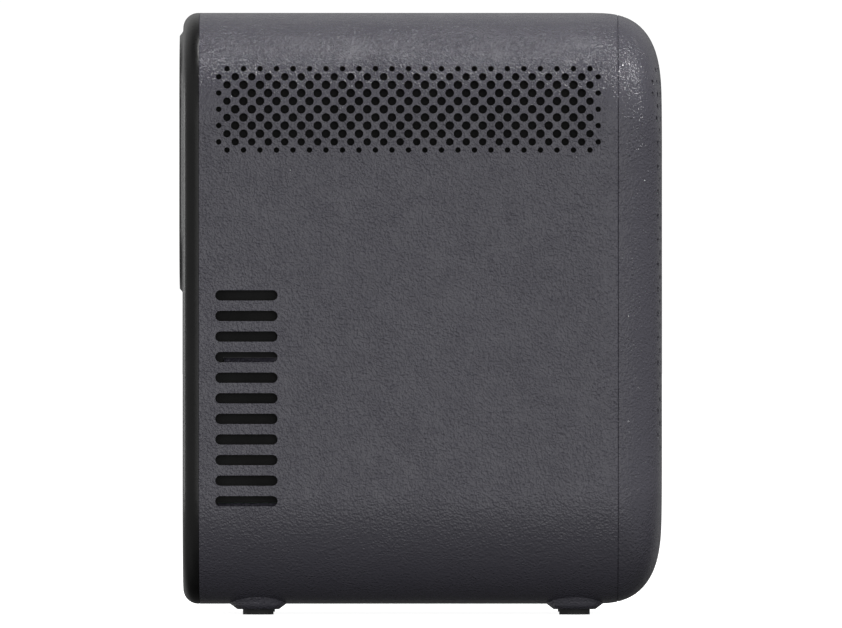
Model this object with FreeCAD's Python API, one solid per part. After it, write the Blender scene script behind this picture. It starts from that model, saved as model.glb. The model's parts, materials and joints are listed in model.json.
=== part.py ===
"""Upright LED projector with a built-in disc player.

Millimetres, +Z up.  The origin is under the middle of the outer box, on the
surface that the feet stand on.  The lens looks along -Y, the disc tray opens
along +Y, and the side walls lie at +X and -X.
"""
import FreeCAD, Part

import math
import os

Vec = FreeCAD.Vector
X, Y, Z = Vec(1, 0, 0), Vec(0, 1, 0), Vec(0, 0, 1)

# ---- housing ---------------------------------------------------------------
BODY_W = 166.0            # across the side walls
BODY_H = 211.25           # housing without its feet
BODY_Z0 = 3.75            # underside of the housing above the floor
CORNER_R = 40.0           # long edges of the housing, seen from the front
WALL = 2.4                # moulded wall of all three covers
FRONT_Y = -86.15          # flat front face
FRONT_SEAM_Y = -70.4      # sleeve meets the front shell
REAR_SEAM_Y = 79.05       # sleeve meets the rear cover
REAR_FACE_Y = 84.8        # flat face of the rear cover
FRONT_BLEND = 25.0        # depth over which the front end curves in
FRONT_DROP = 33.0         # how far its top and bottom come in
FRONT_PINCH = 24.0        # how far its sides come in
FRONT_POWER = 2.8         # fullness of that curve; 2 would be an ellipse
FRONT_SECTIONS = 8
CORNER_SHRINK = 0.8       # corners tighten by this share of the sides' inset
REAR_EDGE_R = 5.4         # rounding of the rear cover's rim
TONGUE_T = 1.2            # locating tongues inside the seams
TONGUE_REACH = 3.0
TONGUE_FIT = 0.15

# ---- rear cover: exhaust pad and screws --------------------------------------
PAD_RISE = 1.35           # moulded pad round the exhaust grille
PAD_W = 112.0
PAD_H = 95.8
PAD_R = 26.0
PAD_SLOPE = 2.6           # width of the pad's hollow edge
PAD_SECTIONS = 3
GRILLE_RINGS = 6
GRILLE_HUB_R = 8.0
GRILLE_PITCH = 5.2
GRILLE_SLOT = 2.7
GRILLE_SPOKES = 8
GRILLE_SPOKE_W = 3.0
SCREW_R = 1.5
SCREW_FIT = 0.2
SCREW_HEAD_R = 3.1
SCREW_HEAD_H = 2.0
COVER_SCREW_INSET = 10.0  # screw axis in from the housing's corner curve
COVER_SCREW_LENGTH = 16.0
BOSS_R = 4.2
BOSS_LENGTH = 24.0

# ---- side slots -----------------------------------------------------------------
SLOT_COUNT = 11
SLOT_Y = 62.0
SLOT_LENGTH = 22.2
SLOT_HEIGHT = 3.7
SLOT_PITCH = 7.33
SLOT_TOP_Z = 114.0

# ---- black mesh bonded behind the slots and the upper vent field ------------------
SCREEN_T = 0.4
SCREEN_FIT = 0.05
SCREEN_LAP = 4.0
SCREEN_LEDGE_GAP = 0.2
VENT_FIELD_Y = 4.4
VENT_FIELD_L = 135.2
VENT_FIELD_H = 31.0
VENT_FIELD_DROP = 34.2    # its middle below the top of the housing

# ---- feet and tripod socket -------------------------------------------------------
FOOT_X = 47.0
FOOT_FRONT_Y = -55.0
FOOT_REAR_Y = 58.0
FOOT_TOP_R = 10.0
FOOT_TIP_R = 7.5
FOOT_TIP_Z = 1.9
PAD_FOOT_R = 5.5
PAD_FOOT_SINK = 0.6
PAD_FOOT_FIT = 0.1
INSERT_THREAD_R = 3.175
INSERT_WALL = 1.6
INSERT_DEPTH = 10.0
INSERT_BOSS = 3.0
INSERT_ROOF = 1.8

# ---- top keys -----------------------------------------------------------------------
KEY_NAMES = ("power_key", "previous_key", "play_key", "next_key", "source_key")
KEY_PITCH = 16.5
KEY_Y = 38.0
KEY_R = 5.8
KEY_GAP = 0.35
KEY_SINK = 0.2            # key tops lie this far below the roof
KEY_RIM = 1.2
KEY_RIM_T = 1.4
KEY_STEM_R = 2.0
KEY_TRAVEL = 0.8
KEY_BOARD_DROP = 6.6      # board's top face below the roof's inner face
KEY_BOARD_SPARE = 22.0    # beyond the keys, for its two screws
SWITCH_SIZE = 6.0
SWITCH_GAP = 0.2

# ---- projection lens ---------------------------------------------------------------------
AXIS_DROP = 53.3          # optical axis below the top of the housing
BARREL_R = 24.0
BARREL_WALL = 1.8
BARREL_FRONT_Y = -79.0
BEZEL_R = 27.5            # hole in the front shell
BEZEL_FIT = 0.15
BEZEL_LIP = 2.0
BEZEL_LIP_T = 1.4
BEZEL_LIP_GAP = 0.6       # the shell curves back behind the lip's top
CELL_FIT = 0.06           # lens cell slides in the fixed barrel
CELL_LENGTH = 26.0
CELL_REST_Y = -70.0       # front rim of the cell with the ring at rest
CELL_WALL = 1.5
CELL_STEP = 1.2           # each lens seat is this much narrower than the last
CELL_SEATS = (2.0, 11.0, 20.0)
LENS_EDGE = 2.0
LENS_SAGS = ((2.4, 2.0), (-1.4, 0.0), (1.8, 2.2))  # front and rear of each lens
FOCUS_TRAVEL = 8.0
RING_WIDTH = 9.0
RING_Y = -56.0            # front face of the focus ring
RING_FIT = 0.08
RING_END_FIT = 0.1
RETAINER_R = 25.6
RETAINER_W = 2.0
FOCUS_MODULE = 1.0
RING_TEETH = 56
PINION_TEETH = 12
PINION_ANGLE = -45.0      # seen from behind, pinion below and beside the ring
MESH_SPACE = 0.3          # added to the gears' centre distance
BACKLASH = 0.34
MOTOR_R = 7.5
MOTOR_SHAFT_R = 1.0
SHAFT_FIT = 0.04
FLANGE_T = 2.0

# ---- light engine ---------------------------------------------------------------------------
ENGINE_W = 112.0
ENGINE_H = 86.0
ENGINE_FRONT_Y = -34.0
ENGINE_BACK_Y = 22.0
ENGINE_WALL = 2.0
SEAT_T = 2.0              # moulded seats before and behind each optical plate
SEAT_LAP = 3.0
SEAT_FIT = 0.1
LCD_W = 92.0
LCD_H = 56.0
LCD_T = 3.0
LCD_Y = -25.0
FRESNEL_T = 2.0
FRESNEL_W = 98.0
FRESNEL_H = 62.0
FRESNEL_Y = -14.0
CONDENSER_R = 30.0
CONDENSER_EDGE = 2.4
CONDENSER_SAG = 8.0
CONDENSER_Y = 2.0
LED_PLATE = 44.0
LED_T = 2.0
LED_CHIP = 14.0
LED_CHIP_T = 1.2
LED_HOLE = 26.0
SINK_SIZE = 68.0
SINK_BASE = 5.0
SINK_DEPTH = 30.0
FIN_COUNT = 14
FIN_T = 1.3

# ---- exhaust fan --------------------------------------------------------------------------------
FAN_SIZE = 80.0
FAN_DEPTH = 15.0
FAN_RIM = 1.5             # frame left outside the bore at its narrowest
FAN_TIP_GAP = 0.8
FAN_HUB_R = 17.0
FAN_HUB_T = 3.0
FAN_RUN_GAP = 0.6
FAN_BLADES = 7
FAN_BLADE_T = 1.4
FAN_BLADE_CHORD = 13.0
FAN_ROOT_TURN = 52.0
FAN_TIP_TURN = 64.0
FAN_SHAFT_R = 1.5
FAN_STRUT_W = 4.0
FAN_HOLE_R = 2.2
FAN_HOLE_INSET = 4.25

# ---- middle deck and circuit boards ---------------------------------------------------------------
DECK_T = 3.0
DECK_GAP = 0.6
DECK_FRONT_Y = -52.0
DECK_BACK_Y = 74.0
DECK_RIB_Y = 34.0         # rib between the ones at its ends
LEDGE_W = 6.0
LEDGE_T = 3.0
POST_R = 4.0
BOARD_T = 1.6
MAIN_BOARD_Z = 40.0
MAIN_BOARD_GAP = 3.6      # from its edges to the side walls
MAIN_BOARD_FRONT_Y = -30.0
MAIN_BOARD_BACK_Y = 76.0
POWER_BOARD_Z = 16.0
POWER_BOARD_GAP = 30.6
POWER_BOARD_FRONT_Y = -25.0
POWER_BOARD_BACK_Y = 72.0
CHIP_SINK = 40.0          # square finned sink on the main board
CHIP_SINK_BASE = 5.0
CHIP_SINK_H = 14.0
CHIP_FIN_COUNT = 10
CHIP_FIN_T = 0.96
CORE_W = 28.0             # transformer's ferrite core
CORE_D = 22.0
CORE_H = 18.0
WINDING_W = 18.0
WINDING_D = 30.0
WINDING_H = 16.0
CAPACITOR_R = 7.0
CAPACITOR_H = 18.0
CAPACITOR_X = 30.0

# ---- sockets on the back ------------------------------------------------------------------------------
PORT_FACE_Y = 84.2
PORT_GAP = 0.4            # cover's cut-outs round the sockets
PORT_SHELL = 0.5
HDMI_X = 42.0
HDMI_W = 15.0
HDMI_H = 5.6
HDMI_LENGTH = 12.0
USB_X = 20.0
USB_W = 13.6
USB_H = 6.6
USB_LENGTH = 14.0
JACK_X = (-2.0, -18.0)
JACK_BLOCK = 8.0
JACK_LENGTH = 14.0
JACK_BORE_R = 1.8
JACK_COLLAR_R = 3.4
JACK_COLLAR_T = 2.2
INLET_INSET = 35.0        # inlet's middle and the receiver's, in from the side
INLET_W = 24.0
INLET_H = 16.0
INLET_LENGTH = 18.0
INLET_MOUTH_W = 16.4
INLET_MOUTH_H = 9.0
INLET_MOUTH_DEPTH = 12.0
INLET_PIN_R = 1.2
INLET_PIN_PITCH = 8.6
INLET_PIN_LENGTH = 9.0
EYE_Z = 56.0
EYE_R = 3.0
EYE_FIT = 0.1

# ---- speakers --------------------------------------------------------------------------------------------
SPEAKER_X = 31.0
SPEAKER_Z = 86.0
SPEAKER_R = 24.5
SPEAKER_FLANGE_T = 1.6
SPEAKER_DEPTH = 13.0
CONE_R = 20.0
CONE_T = 0.6
CONE_SINK = 7.0
MAGNET_R = 14.0
MAGNET_T = 7.0

# ---- disc drive ----------------------------------------------------------------------------------------------
DRIVE_W = 130.0
DRIVE_Z0 = 75.0
DRIVE_H = 16.8
SHEET = 0.8
CAN_VENT_L = 24.0
CAN_VENT_W = 4.0
CAN_VENT_X = 40.0
CAN_VENT_PITCH = 20.0
DRIVE_MOUTH_Y = 78.4      # open end of the drive's can
DRIVE_END_Y = -55.2
TRAY_TRAVEL = 118.0
TRAY_END_Y = -52.8
TRAY_TOP_Z = 87.0
TRAY_PLATE_T = 4.3
TRAY_FLOAT = 0.6          # tray's skirt above the can
TRAY_SKIRT = 1.6
TRAY_SIDE_GAP = 3.3       # from the can's inner wall to the tray's side
GUIDE_FIT = 0.3
GUIDE_Z0 = 77.0
GUIDE_H = 9.0
RUNNER_Z = 82.0
RUNNER_W = 1.5
RUNNER_H = 2.2
DISC_Y = 17.8             # disc centre with the tray closed
DISC_R = 60.0
DISC_FIT = 1.2
DISC_SINK = 2.0
SMALL_DISC_R = 40.0
SMALL_SINK = 0.7
SCALLOP = 34.0            # half length of the low stretch at each side
FASCIA_T = 3.6
FASCIA_W = 132.0
FASCIA_H = 14.6
FASCIA_R = 2.0
FASCIA_BEVEL = 0.5
FASCIA_GAP = 0.5
MECH_PLATE_T = 1.0
MECH_GAP = 0.2
MECH_W = 96.0
MECH_FRONT = 30.0         # plate reaches this far past the disc centre
WELL_R = 16.0             # hole in the tray for the turntable
WINDOW_W = 20.0
SPINDLE_R = 1.0
STATOR_R = 11.5
STATOR_H = 4.0
ROTOR_R = 10.5
TABLE_R = 14.0
TABLE_T = 1.4
TABLE_RISE = 0.9          # disc lies this far above the recess
HUB_R = 7.35              # takes the 15 mm hole of a disc
HUB_H = 2.4
SLED_REST = 23.0          # objective lens to disc centre at rest
LID_RING_R = 22.0         # pressed ring in the lid above the disc's hub
LID_RING_W = 3.0
SLED_TRAVEL = 34.0
SLED_HALF_LENGTH = 8.0
SLED_W = 38.0
SLED_H = 4.4
WAIST_W = 10.0            # low stretches on top of the sled, over its rods
WAIST_L = 7.0
OBJECTIVE_R = 3.2
TURRET_HALF = 5.5
ROD_R = 1.2
ROD_FIT = 0.05
ROD_SPREAD = 31.0
ROD_LUG = 2.0
FEED_MODULE = 0.8
FEED_TEETH = 13
FEED_WIDTH = 2.0
FEED_MOTOR_R = 6.0
FEED_MOTOR_H = 1.8
RACK_BACK = 1.4
EJECT_X = 48.0
EJECT_W = 7.0
EJECT_H = 3.2
EJECT_GAP = 0.3
EJECT_RIM = 1.0
EJECT_TRAVEL = 0.6
LAMP_X = 36.0
LAMP_R = 1.0

# ---- worked out from the sizes above --------------------------------------------------------------------------
BODY_TOP = BODY_Z0 + BODY_H
AXIS_Z = BODY_TOP - AXIS_DROP                  # height of the optical axis
ROOF_Z = BODY_TOP - WALL                       # roof's inner face
FLOOR_Z = BODY_Z0 + WALL                       # floor's inner face
SIDE_X = BODY_W / 2 - WALL                     # side walls' inner faces
FRONT_INNER_Y = FRONT_Y + WALL
REAR_INNER_Y = REAR_FACE_Y - WALL
DRIVE_TOP = DRIVE_Z0 + DRIVE_H
DECK_Z = DRIVE_TOP
CAN_X = DRIVE_W / 2 - SHEET                    # can's inner side face
CAN_FLOOR = DRIVE_Z0 + SHEET
TRAY_X = CAN_X - TRAY_SIDE_GAP
TRAY_SKIRT_Z = CAN_FLOOR + TRAY_FLOAT
TRAY_PLATE_Z = TRAY_TOP_Z - TRAY_PLATE_T
RECESS_Z = TRAY_TOP_Z - DISC_SINK
FASCIA_BACK_Y = REAR_FACE_Y - FASCIA_T
FASCIA_Z = DRIVE_Z0 + DRIVE_H / 2
MECH_Z = TRAY_SKIRT_Z + MECH_GAP
MECH_TOP = MECH_Z + MECH_PLATE_T
CELL_R = BARREL_R - BARREL_WALL - CELL_FIT
ENGINE_Z = AXIS_Z - ENGINE_H / 2
MAIN_BOARD_W = 2 * (SIDE_X - MAIN_BOARD_GAP)
POWER_BOARD_W = 2 * (SIDE_X - POWER_BOARD_GAP)
INLET_X = INLET_INSET - BODY_W / 2
EYE_X = INLET_X
FAN_BORE_R = FAN_SIZE / 2 - FAN_RIM
FAN_BACK_Y = REAR_INNER_Y
FAN_FRONT_Y = FAN_BACK_Y - FAN_DEPTH


def box(x0, x1, y0, y1, z0, z1):
    """Solid between two corners."""
    return Part.makeBox(x1 - x0, y1 - y0, z1 - z0, Vec(x0, y0, z0))


def rod(radius, start, axis, length):
    return Part.makeCylinder(radius, length, start, axis)


def tube(outer, inner, start, axis, length):
    return rod(outer, start, axis, length).cut(rod(inner, start, axis, length))


def merge(first, *others):
    """One solid from touching ones, without the seams between them."""
    return first.fuse(list(others)).removeSplitter()


def both_sides(shape):
    """The shape and its mirror image across the middle plane."""
    return [shape, shape.mirror(Vec(0, 0, 0), X)]


def export(name, *solids):
    shape = solids[0] if len(solids) == 1 else Part.makeCompound(list(solids))
    shape.exportStep("parts/" + name + ".step")


def round_wire(half_w, z_low, z_high, radius, y):
    """Rounded rectangle in the plane at y, centred on the middle plane."""
    chord = radius * (1 - math.sqrt(0.5))
    corners = ((half_w, z_low, -1, 1), (half_w, z_high, -1, -1),
               (-half_w, z_high, 1, -1), (-half_w, z_low, 1, 1))
    edges = []
    last = None
    first = None
    for index, (x, z, sx, sz) in enumerate(corners):
        on_side = Vec(x, y, z + sz * radius)
        on_end = Vec(x + sx * radius, y, z)
        middle = Vec(x + sx * chord, y, z + sz * chord)
        start, stop = (on_end, on_side) if index % 2 == 0 else (on_side, on_end)
        if last is None:
            first = start
        else:
            edges.append(Part.makeLine(last, start))
        edges.append(Part.Arc(start, middle, stop).toShape())
        last = stop
    edges.append(Part.makeLine(last, first))
    return Part.Wire(edges)


def body_wire(inset, y, drop=0.0, pinch=0.0, shrink=0.0):
    """Cross-section of the housing, inset all round, and further at the front."""
    return round_wire(BODY_W / 2 - inset - pinch, BODY_Z0 + inset + drop,
                      BODY_TOP - inset - drop, CORNER_R - inset - shrink, y)


def slab(wire, length):
    """Prism from a wire towards +Y."""
    return Part.Face(wire).extrude(Y * length)


def front_form(inset):
    """Curved front end of the housing, from where the curve begins to the face."""
    depth = FRONT_BLEND - inset
    start = FRONT_Y + FRONT_BLEND
    wires = []
    for index in range(FRONT_SECTIONS + 1):
        turn = math.radians(90 * index / FRONT_SECTIONS)
        ahead = math.sin(turn) ** (2 / FRONT_POWER)
        inward = 1 - max(math.cos(turn), 0.0) ** (2 / FRONT_POWER)
        wires.append(body_wire(inset, start - depth * ahead, FRONT_DROP * inward,
                               FRONT_PINCH * inward, FRONT_PINCH * inward * CORNER_SHRINK))
    return Part.makeLoft(wires, True, False)


def housing_form(inset):
    """The sleeve and the front end in one, inset by a wall or not at all."""
    start = FRONT_Y + FRONT_BLEND
    straight = slab(body_wire(inset, start), REAR_SEAM_Y - start)
    return merge(straight, front_form(inset))


def beyond(y, ahead):
    """Everything ahead of, or behind, the plane at y."""
    reach = BODY_W * 2
    if ahead:
        return box(-reach, reach, y - reach, y, -reach, reach * 2)
    return box(-reach, reach, y, y + reach, -reach, reach * 2)


def gear(module, teeth, phase, bore=0.0):
    """Flat gear face in the plane of X and Y; the first tooth points at phase."""
    pitch_r = module * teeth / 2
    tip_r = pitch_r + module * 0.9
    root_r = pitch_r - module * 1.2
    half = (math.pi * module / 2 - BACKLASH) / 2
    slope = math.tan(math.radians(20))
    tip_half = half - slope * (tip_r - pitch_r)
    root_half = half + slope * (pitch_r - root_r)
    points = []
    for tooth in range(teeth):
        centre = math.radians(phase) + 2 * math.pi * tooth / teeth
        for radius, side in ((root_r, -root_half), (tip_r, -tip_half),
                             (tip_r, tip_half), (root_r, root_half)):
            angle = centre + side / radius
            points.append(Vec(radius * math.cos(angle), radius * math.sin(angle), 0))
    face = Part.Face(Part.makePolygon(points + points[:1]))
    if bore:
        face = face.cut(Part.Face(Part.Wire(Part.makeCircle(bore))))
    return face


def upright(face, length):
    """Extrudes a face drawn in X and Y along -Y, with its Y turned up to Z."""
    solid = face.extrude(Z * length)
    solid.rotate(Vec(0, 0, 0), X, 90)
    return solid


def revolved(points):
    """Turns a profile of (radius, y) pairs about the Y axis."""
    corners = [Vec(radius, y, 0) for radius, y in points]
    return Part.Face(Part.makePolygon(corners + corners[:1])).revolve(Vec(0, 0, 0), Y, 360)


def moved(shape, x=0.0, y=0.0, z=0.0):
    shape = shape.copy()
    shape.translate(Vec(x, y, z))
    return shape


def screw(head_seat, axis, length):
    """Pan-head screw whose head lies on head_seat; axis points into the work."""
    head = rod(SCREW_HEAD_R, head_seat, axis * -1, SCREW_HEAD_H)
    return merge(head, rod(SCREW_R, head_seat, axis, length))


# ---- covers -------------------------------------------------------------------------------------------------------
def cover_screw_places():
    """Axes of the rear cover's screws, inside each long corner of the housing."""
    reach = (CORNER_R - COVER_SCREW_INSET) * math.sqrt(0.5)
    across = BODY_W / 2 - CORNER_R + reach
    low = BODY_Z0 + CORNER_R - reach
    high = BODY_TOP - CORNER_R + reach
    return [(sx * across, z, sx, sz) for sx in (-1, 1) for z, sz in ((low, -1), (high, 1))]


def screw_boss(x, z, sx, sz):
    """Boss for a rear cover screw, with the rib that ties it to the wall."""
    boss = rod(BOSS_R, Vec(x, REAR_SEAM_Y - BOSS_LENGTH, z), Y, BOSS_LENGTH)
    reach = COVER_SCREW_INSET - WALL / 2
    rib_end = REAR_SEAM_Y - TONGUE_REACH - 0.2
    rib = box(0, reach, REAR_SEAM_Y - BOSS_LENGTH, rib_end, -1, 1)
    rib.rotate(Vec(0, 0, 0), Y, -math.degrees(math.atan2(sz, sx)))
    boss = merge(boss, moved(rib, x, 0, z))
    return boss.cut(rod(SCREW_R, Vec(x, REAR_SEAM_Y - COVER_SCREW_LENGTH, z), Y,
                        COVER_SCREW_LENGTH + 1))


def side_slot(row):
    """Round-ended slot through a side wall."""
    z = SLOT_TOP_Z - SLOT_PITCH * row
    half = (SLOT_LENGTH - SLOT_HEIGHT) / 2
    reach = SIDE_X - 1
    depth = WALL + 2
    middle = box(reach, reach + depth, SLOT_Y - half, SLOT_Y + half,
                 z - SLOT_HEIGHT / 2, z + SLOT_HEIGHT / 2)
    ends = [rod(SLOT_HEIGHT / 2, Vec(reach, SLOT_Y + side * half, z), X, depth)
            for side in (-1, 1)]
    return merge(middle, *ends)


def vent_screens():
    """Mesh sheets that follow the side walls inside the vents; ledges pass through them."""
    sheet = housing_form(WALL + SCREEN_FIT).cut(housing_form(WALL + SCREEN_FIT + SCREEN_T))
    reach = VENT_FIELD_H / 2 + SCREEN_LAP / 2
    middle = BODY_TOP - VENT_FIELD_DROP
    front = max(VENT_FIELD_Y - VENT_FIELD_L / 2 - SCREEN_LAP, FRONT_SEAM_Y + TONGUE_REACH + SCREEN_FIT)
    back = min(VENT_FIELD_Y + VENT_FIELD_L / 2 + SCREEN_LAP, REAR_SEAM_Y - TONGUE_REACH - SCREEN_FIT)
    upper = sheet.common(box(BODY_W / 4, BODY_W, front, back, middle - reach, middle + reach))
    half = SLOT_LENGTH / 2 + SCREEN_LAP
    low = SLOT_TOP_Z - SLOT_PITCH * (SLOT_COUNT - 1) - SLOT_HEIGHT / 2 - SCREEN_LAP
    high = SLOT_TOP_Z + SLOT_HEIGHT / 2 + SCREEN_LAP
    back = min(SLOT_Y + half, back)
    lower = sheet.common(box(BODY_W / 4, BODY_W, SLOT_Y - half, back, low, high))
    gap = SCREEN_LEDGE_GAP
    lower = lower.cut([box(SIDE_X - LEDGE_W, BODY_W, front, end + gap, top - LEDGE_T - gap, top + gap)
                       for top, end in ((DECK_Z, DECK_BACK_Y - 4), (MAIN_BOARD_Z, MAIN_BOARD_BACK_Y - 4))])
    return both_sides(upper) + both_sides(lower)


def foot_places():
    return [(x, y) for x in (-FOOT_X, FOOT_X) for y in (FOOT_FRONT_Y, FOOT_REAR_Y)]


def foot_boss(x, y):
    """Flared foot that grows out of the curved underside, hollowed for its pad."""
    flare = Part.makeCone(FOOT_TIP_R, FOOT_TOP_R, BODY_Z0 - FOOT_TIP_Z, Vec(x, y, FOOT_TIP_Z))
    past = max(abs(x) + FOOT_TOP_R - (BODY_W / 2 - CORNER_R), 0.0)
    rise = CORNER_R - math.sqrt(CORNER_R ** 2 - past ** 2)
    root = rod(FOOT_TOP_R, Vec(x, y, BODY_Z0), Z, rise + WALL)
    socket = rod(PAD_FOOT_R + PAD_FOOT_FIT, Vec(x, y, 0), Z, FOOT_TIP_Z + PAD_FOOT_SINK)
    return merge(flare, root).cut(socket)


def key_places():
    middle = (len(KEY_NAMES) - 1) / 2
    return [(name, (index - middle) * KEY_PITCH) for index, name in enumerate(KEY_NAMES)]


KEY_BOARD_TOP = ROOF_Z - KEY_BOARD_DROP
KEY_BOARD_W = KEY_PITCH * len(KEY_NAMES) + KEY_BOARD_SPARE
KEY_BOARD_D = 20.0


def key_board_screws():
    return [(side * (KEY_BOARD_W / 2 - BOSS_R), KEY_Y) for side in (-1, 1)]


def ledges(top_z, front_y, back_y):
    """Pair of moulded ledges that carry a board or deck by its edges."""
    ledge = box(SIDE_X - LEDGE_W, SIDE_X + 1, front_y, back_y, top_z - LEDGE_T, top_z)
    return both_sides(ledge)


def power_board_screws():
    across = POWER_BOARD_W / 2 - 6
    return [(x, y) for x in (-across, across)
            for y in (POWER_BOARD_FRONT_Y + 6, POWER_BOARD_BACK_Y - 14)]


def housing_sleeve():
    """Four walls in one moulding, with ledges, bosses, feet and side slots."""
    shell = housing_form(0).cut(housing_form(WALL))
    shell = shell.cut(beyond(FRONT_SEAM_Y, True))
    adds = ledges(DECK_Z, DECK_FRONT_Y + 4, DECK_BACK_Y - 4)
    adds += ledges(MAIN_BOARD_Z, MAIN_BOARD_FRONT_Y + 4, MAIN_BOARD_BACK_Y - 4)
    adds += [screw_boss(*place) for place in cover_screw_places()]
    adds += [foot_boss(x, y) for x, y in foot_places()]
    for x, y in power_board_screws():
        boss = rod(BOSS_R, Vec(x, y, FLOOR_Z - 1), Z, POWER_BOARD_Z - FLOOR_Z + 1)
        adds.append(boss.cut(rod(SCREW_R, Vec(x, y, FLOOR_Z + 1), Z, POWER_BOARD_Z)))
    for x, y in key_board_screws():
        boss = rod(BOSS_R, Vec(x, y, KEY_BOARD_TOP), Z, ROOF_Z + 1 - KEY_BOARD_TOP)
        adds.append(boss.cut(rod(SCREW_R, Vec(x, y, KEY_BOARD_TOP - 1), Z, KEY_BOARD_DROP)))
    insert_r = INSERT_THREAD_R + INSERT_WALL
    adds.append(rod(insert_r + INSERT_BOSS, Vec(0, 0, BODY_Z0), Z, INSERT_DEPTH + INSERT_ROOF))
    shell = merge(shell, *adds)
    cuts = [rod(insert_r, Vec(0, 0, 0), Z, BODY_Z0 + INSERT_DEPTH)]
    for _, x in key_places():
        cuts.append(rod(KEY_R + KEY_GAP, Vec(x, KEY_Y, ROOF_Z - 1), Z, WALL + 2))
    for row in range(SLOT_COUNT):
        cuts += both_sides(side_slot(row))
    for x, y in foot_places():
        cuts.append(rod(PAD_FOOT_R + PAD_FOOT_FIT, Vec(x, y, 0), Z, FOOT_TIP_Z + PAD_FOOT_SINK))
    return shell.cut(cuts)


def front_shell():
    """Curved front with the lens opening and the tongue that enters the sleeve."""
    shell = housing_form(0).cut(housing_form(WALL))
    shell = shell.cut(beyond(FRONT_SEAM_Y, False))
    start = FRONT_Y + FRONT_BLEND
    ahead = (start - FRONT_SEAM_Y) / (FRONT_BLEND - WALL)
    inward = 1 - (1 - ahead ** FRONT_POWER) ** (1 / FRONT_POWER)
    tongue_y = FRONT_SEAM_Y - TONGUE_REACH
    outer, inner = [slab(body_wire(inset, tongue_y, FRONT_DROP * inward, FRONT_PINCH * inward,
                                   FRONT_PINCH * inward * CORNER_SHRINK), 2 * TONGUE_REACH)
                    for inset in (WALL + TONGUE_FIT, WALL + TONGUE_FIT + TONGUE_T)]
    tongue = outer.cut(inner)
    shell = merge(shell, tongue)
    return shell.cut(rod(BEZEL_R, Vec(0, FRONT_Y - 1, AXIS_Z), Y, WALL + 2))


def exhaust_slots():
    """Rings of slots in the exhaust pad, parted by straight spokes."""
    start = Vec(0, REAR_INNER_Y - 1, AXIS_Z)
    depth = WALL + PAD_RISE + 2
    rings = []
    for index in range(GRILLE_RINGS):
        inner = GRILLE_HUB_R + GRILLE_PITCH * index
        rings.append(tube(inner + GRILLE_SLOT, inner, start, Y, depth))
    spokes = []
    for index in range(GRILLE_SPOKES):
        spoke = box(0, PAD_W, start.y - 1, start.y + depth + 1,
                    -GRILLE_SPOKE_W / 2, GRILLE_SPOKE_W / 2)
        spoke.rotate(Vec(0, 0, 0), Y, 360 * (index + 0.5) / GRILLE_SPOKES)
        spokes.append(moved(spoke, 0, 0, AXIS_Z))
    return [slots.cut(spokes) for slots in rings]


def exhaust_pad():
    """Raised pad whose edge sweeps up from the cover in a hollow curve."""
    wires = []
    for index in range(PAD_SECTIONS + 1):
        share = index / PAD_SECTIONS
        step = PAD_SLOPE * share
        wires.append(round_wire(PAD_W / 2 - step, AXIS_Z - PAD_H / 2 + step, AXIS_Z + PAD_H / 2 - step,
                                PAD_R - step, REAR_FACE_Y + PAD_RISE * share ** 2))
    edge = Part.makeLoft(wires, True, False)
    root = slab(round_wire(PAD_W / 2, AXIS_Z - PAD_H / 2, AXIS_Z + PAD_H / 2, PAD_R,
                           REAR_FACE_Y - WALL / 2), WALL / 2)
    return merge(edge, root)


def rear_cover():
    """Black back with the exhaust grille, disc slot and socket cut-outs."""
    depth = REAR_FACE_Y - REAR_SEAM_Y
    outer = slab(body_wire(0, REAR_SEAM_Y), depth)
    rim = [edge for edge in outer.Edges if edge.BoundBox.YMin > REAR_FACE_Y - 0.01]
    outer = outer.makeFillet(REAR_EDGE_R, rim)
    inner = slab(body_wire(WALL, REAR_SEAM_Y), depth - WALL)
    rim = [edge for edge in inner.Edges if edge.BoundBox.YMin > REAR_INNER_Y - 0.01]
    inner = inner.makeFillet(REAR_EDGE_R - WALL, rim)
    cover = outer.cut(inner)
    pad = exhaust_pad()
    tongue_y = REAR_SEAM_Y - TONGUE_REACH
    reach = REAR_INNER_Y - tongue_y + 0.1
    tongue = slab(body_wire(WALL + TONGUE_FIT, tongue_y), reach)
    tongue = tongue.cut(slab(body_wire(WALL + TONGUE_FIT + TONGUE_T, tongue_y), reach))
    bosses = []
    cuts = exhaust_slots()
    for x, z, _, _ in cover_screw_places():
        bosses.append(rod(BOSS_R, Vec(x, REAR_SEAM_Y, z), Y, REAR_INNER_Y - REAR_SEAM_Y + 0.1))
        cuts.append(rod(SCREW_R + SCREW_FIT, Vec(x, REAR_SEAM_Y - 1, z), Y, depth + 2))
        cuts.append(rod(SCREW_HEAD_R + SCREW_FIT, Vec(x, REAR_FACE_Y - SCREW_HEAD_H, z), Y,
                        SCREW_HEAD_H + 1))
    cover = merge(cover, pad, tongue, *bosses)
    half_w = FASCIA_W / 2 + FASCIA_GAP
    half_h = FASCIA_H / 2 + FASCIA_GAP
    cuts.append(slab(round_wire(half_w, FASCIA_Z - half_h, FASCIA_Z + half_h,
                                FASCIA_R + FASCIA_GAP, REAR_SEAM_Y - 10), 20 + depth))
    cuts += port_cuts()
    return cover.cut(cuts)


def cover_screws():
    seat = REAR_FACE_Y - SCREW_HEAD_H
    return [screw(Vec(x, seat, z), Y * -1, COVER_SCREW_LENGTH) for x, z, _, _ in cover_screw_places()]


def foot_pads():
    length = FOOT_TIP_Z + PAD_FOOT_SINK
    return [rod(PAD_FOOT_R, Vec(x, y, 0), Z, length) for x, y in foot_places()]


def tripod_insert():
    """Threaded brass bush pressed into the floor."""
    start = Vec(0, 0, BODY_Z0)
    return tube(INSERT_THREAD_R + INSERT_WALL, INSERT_THREAD_R, start, Z, INSERT_DEPTH)


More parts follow.
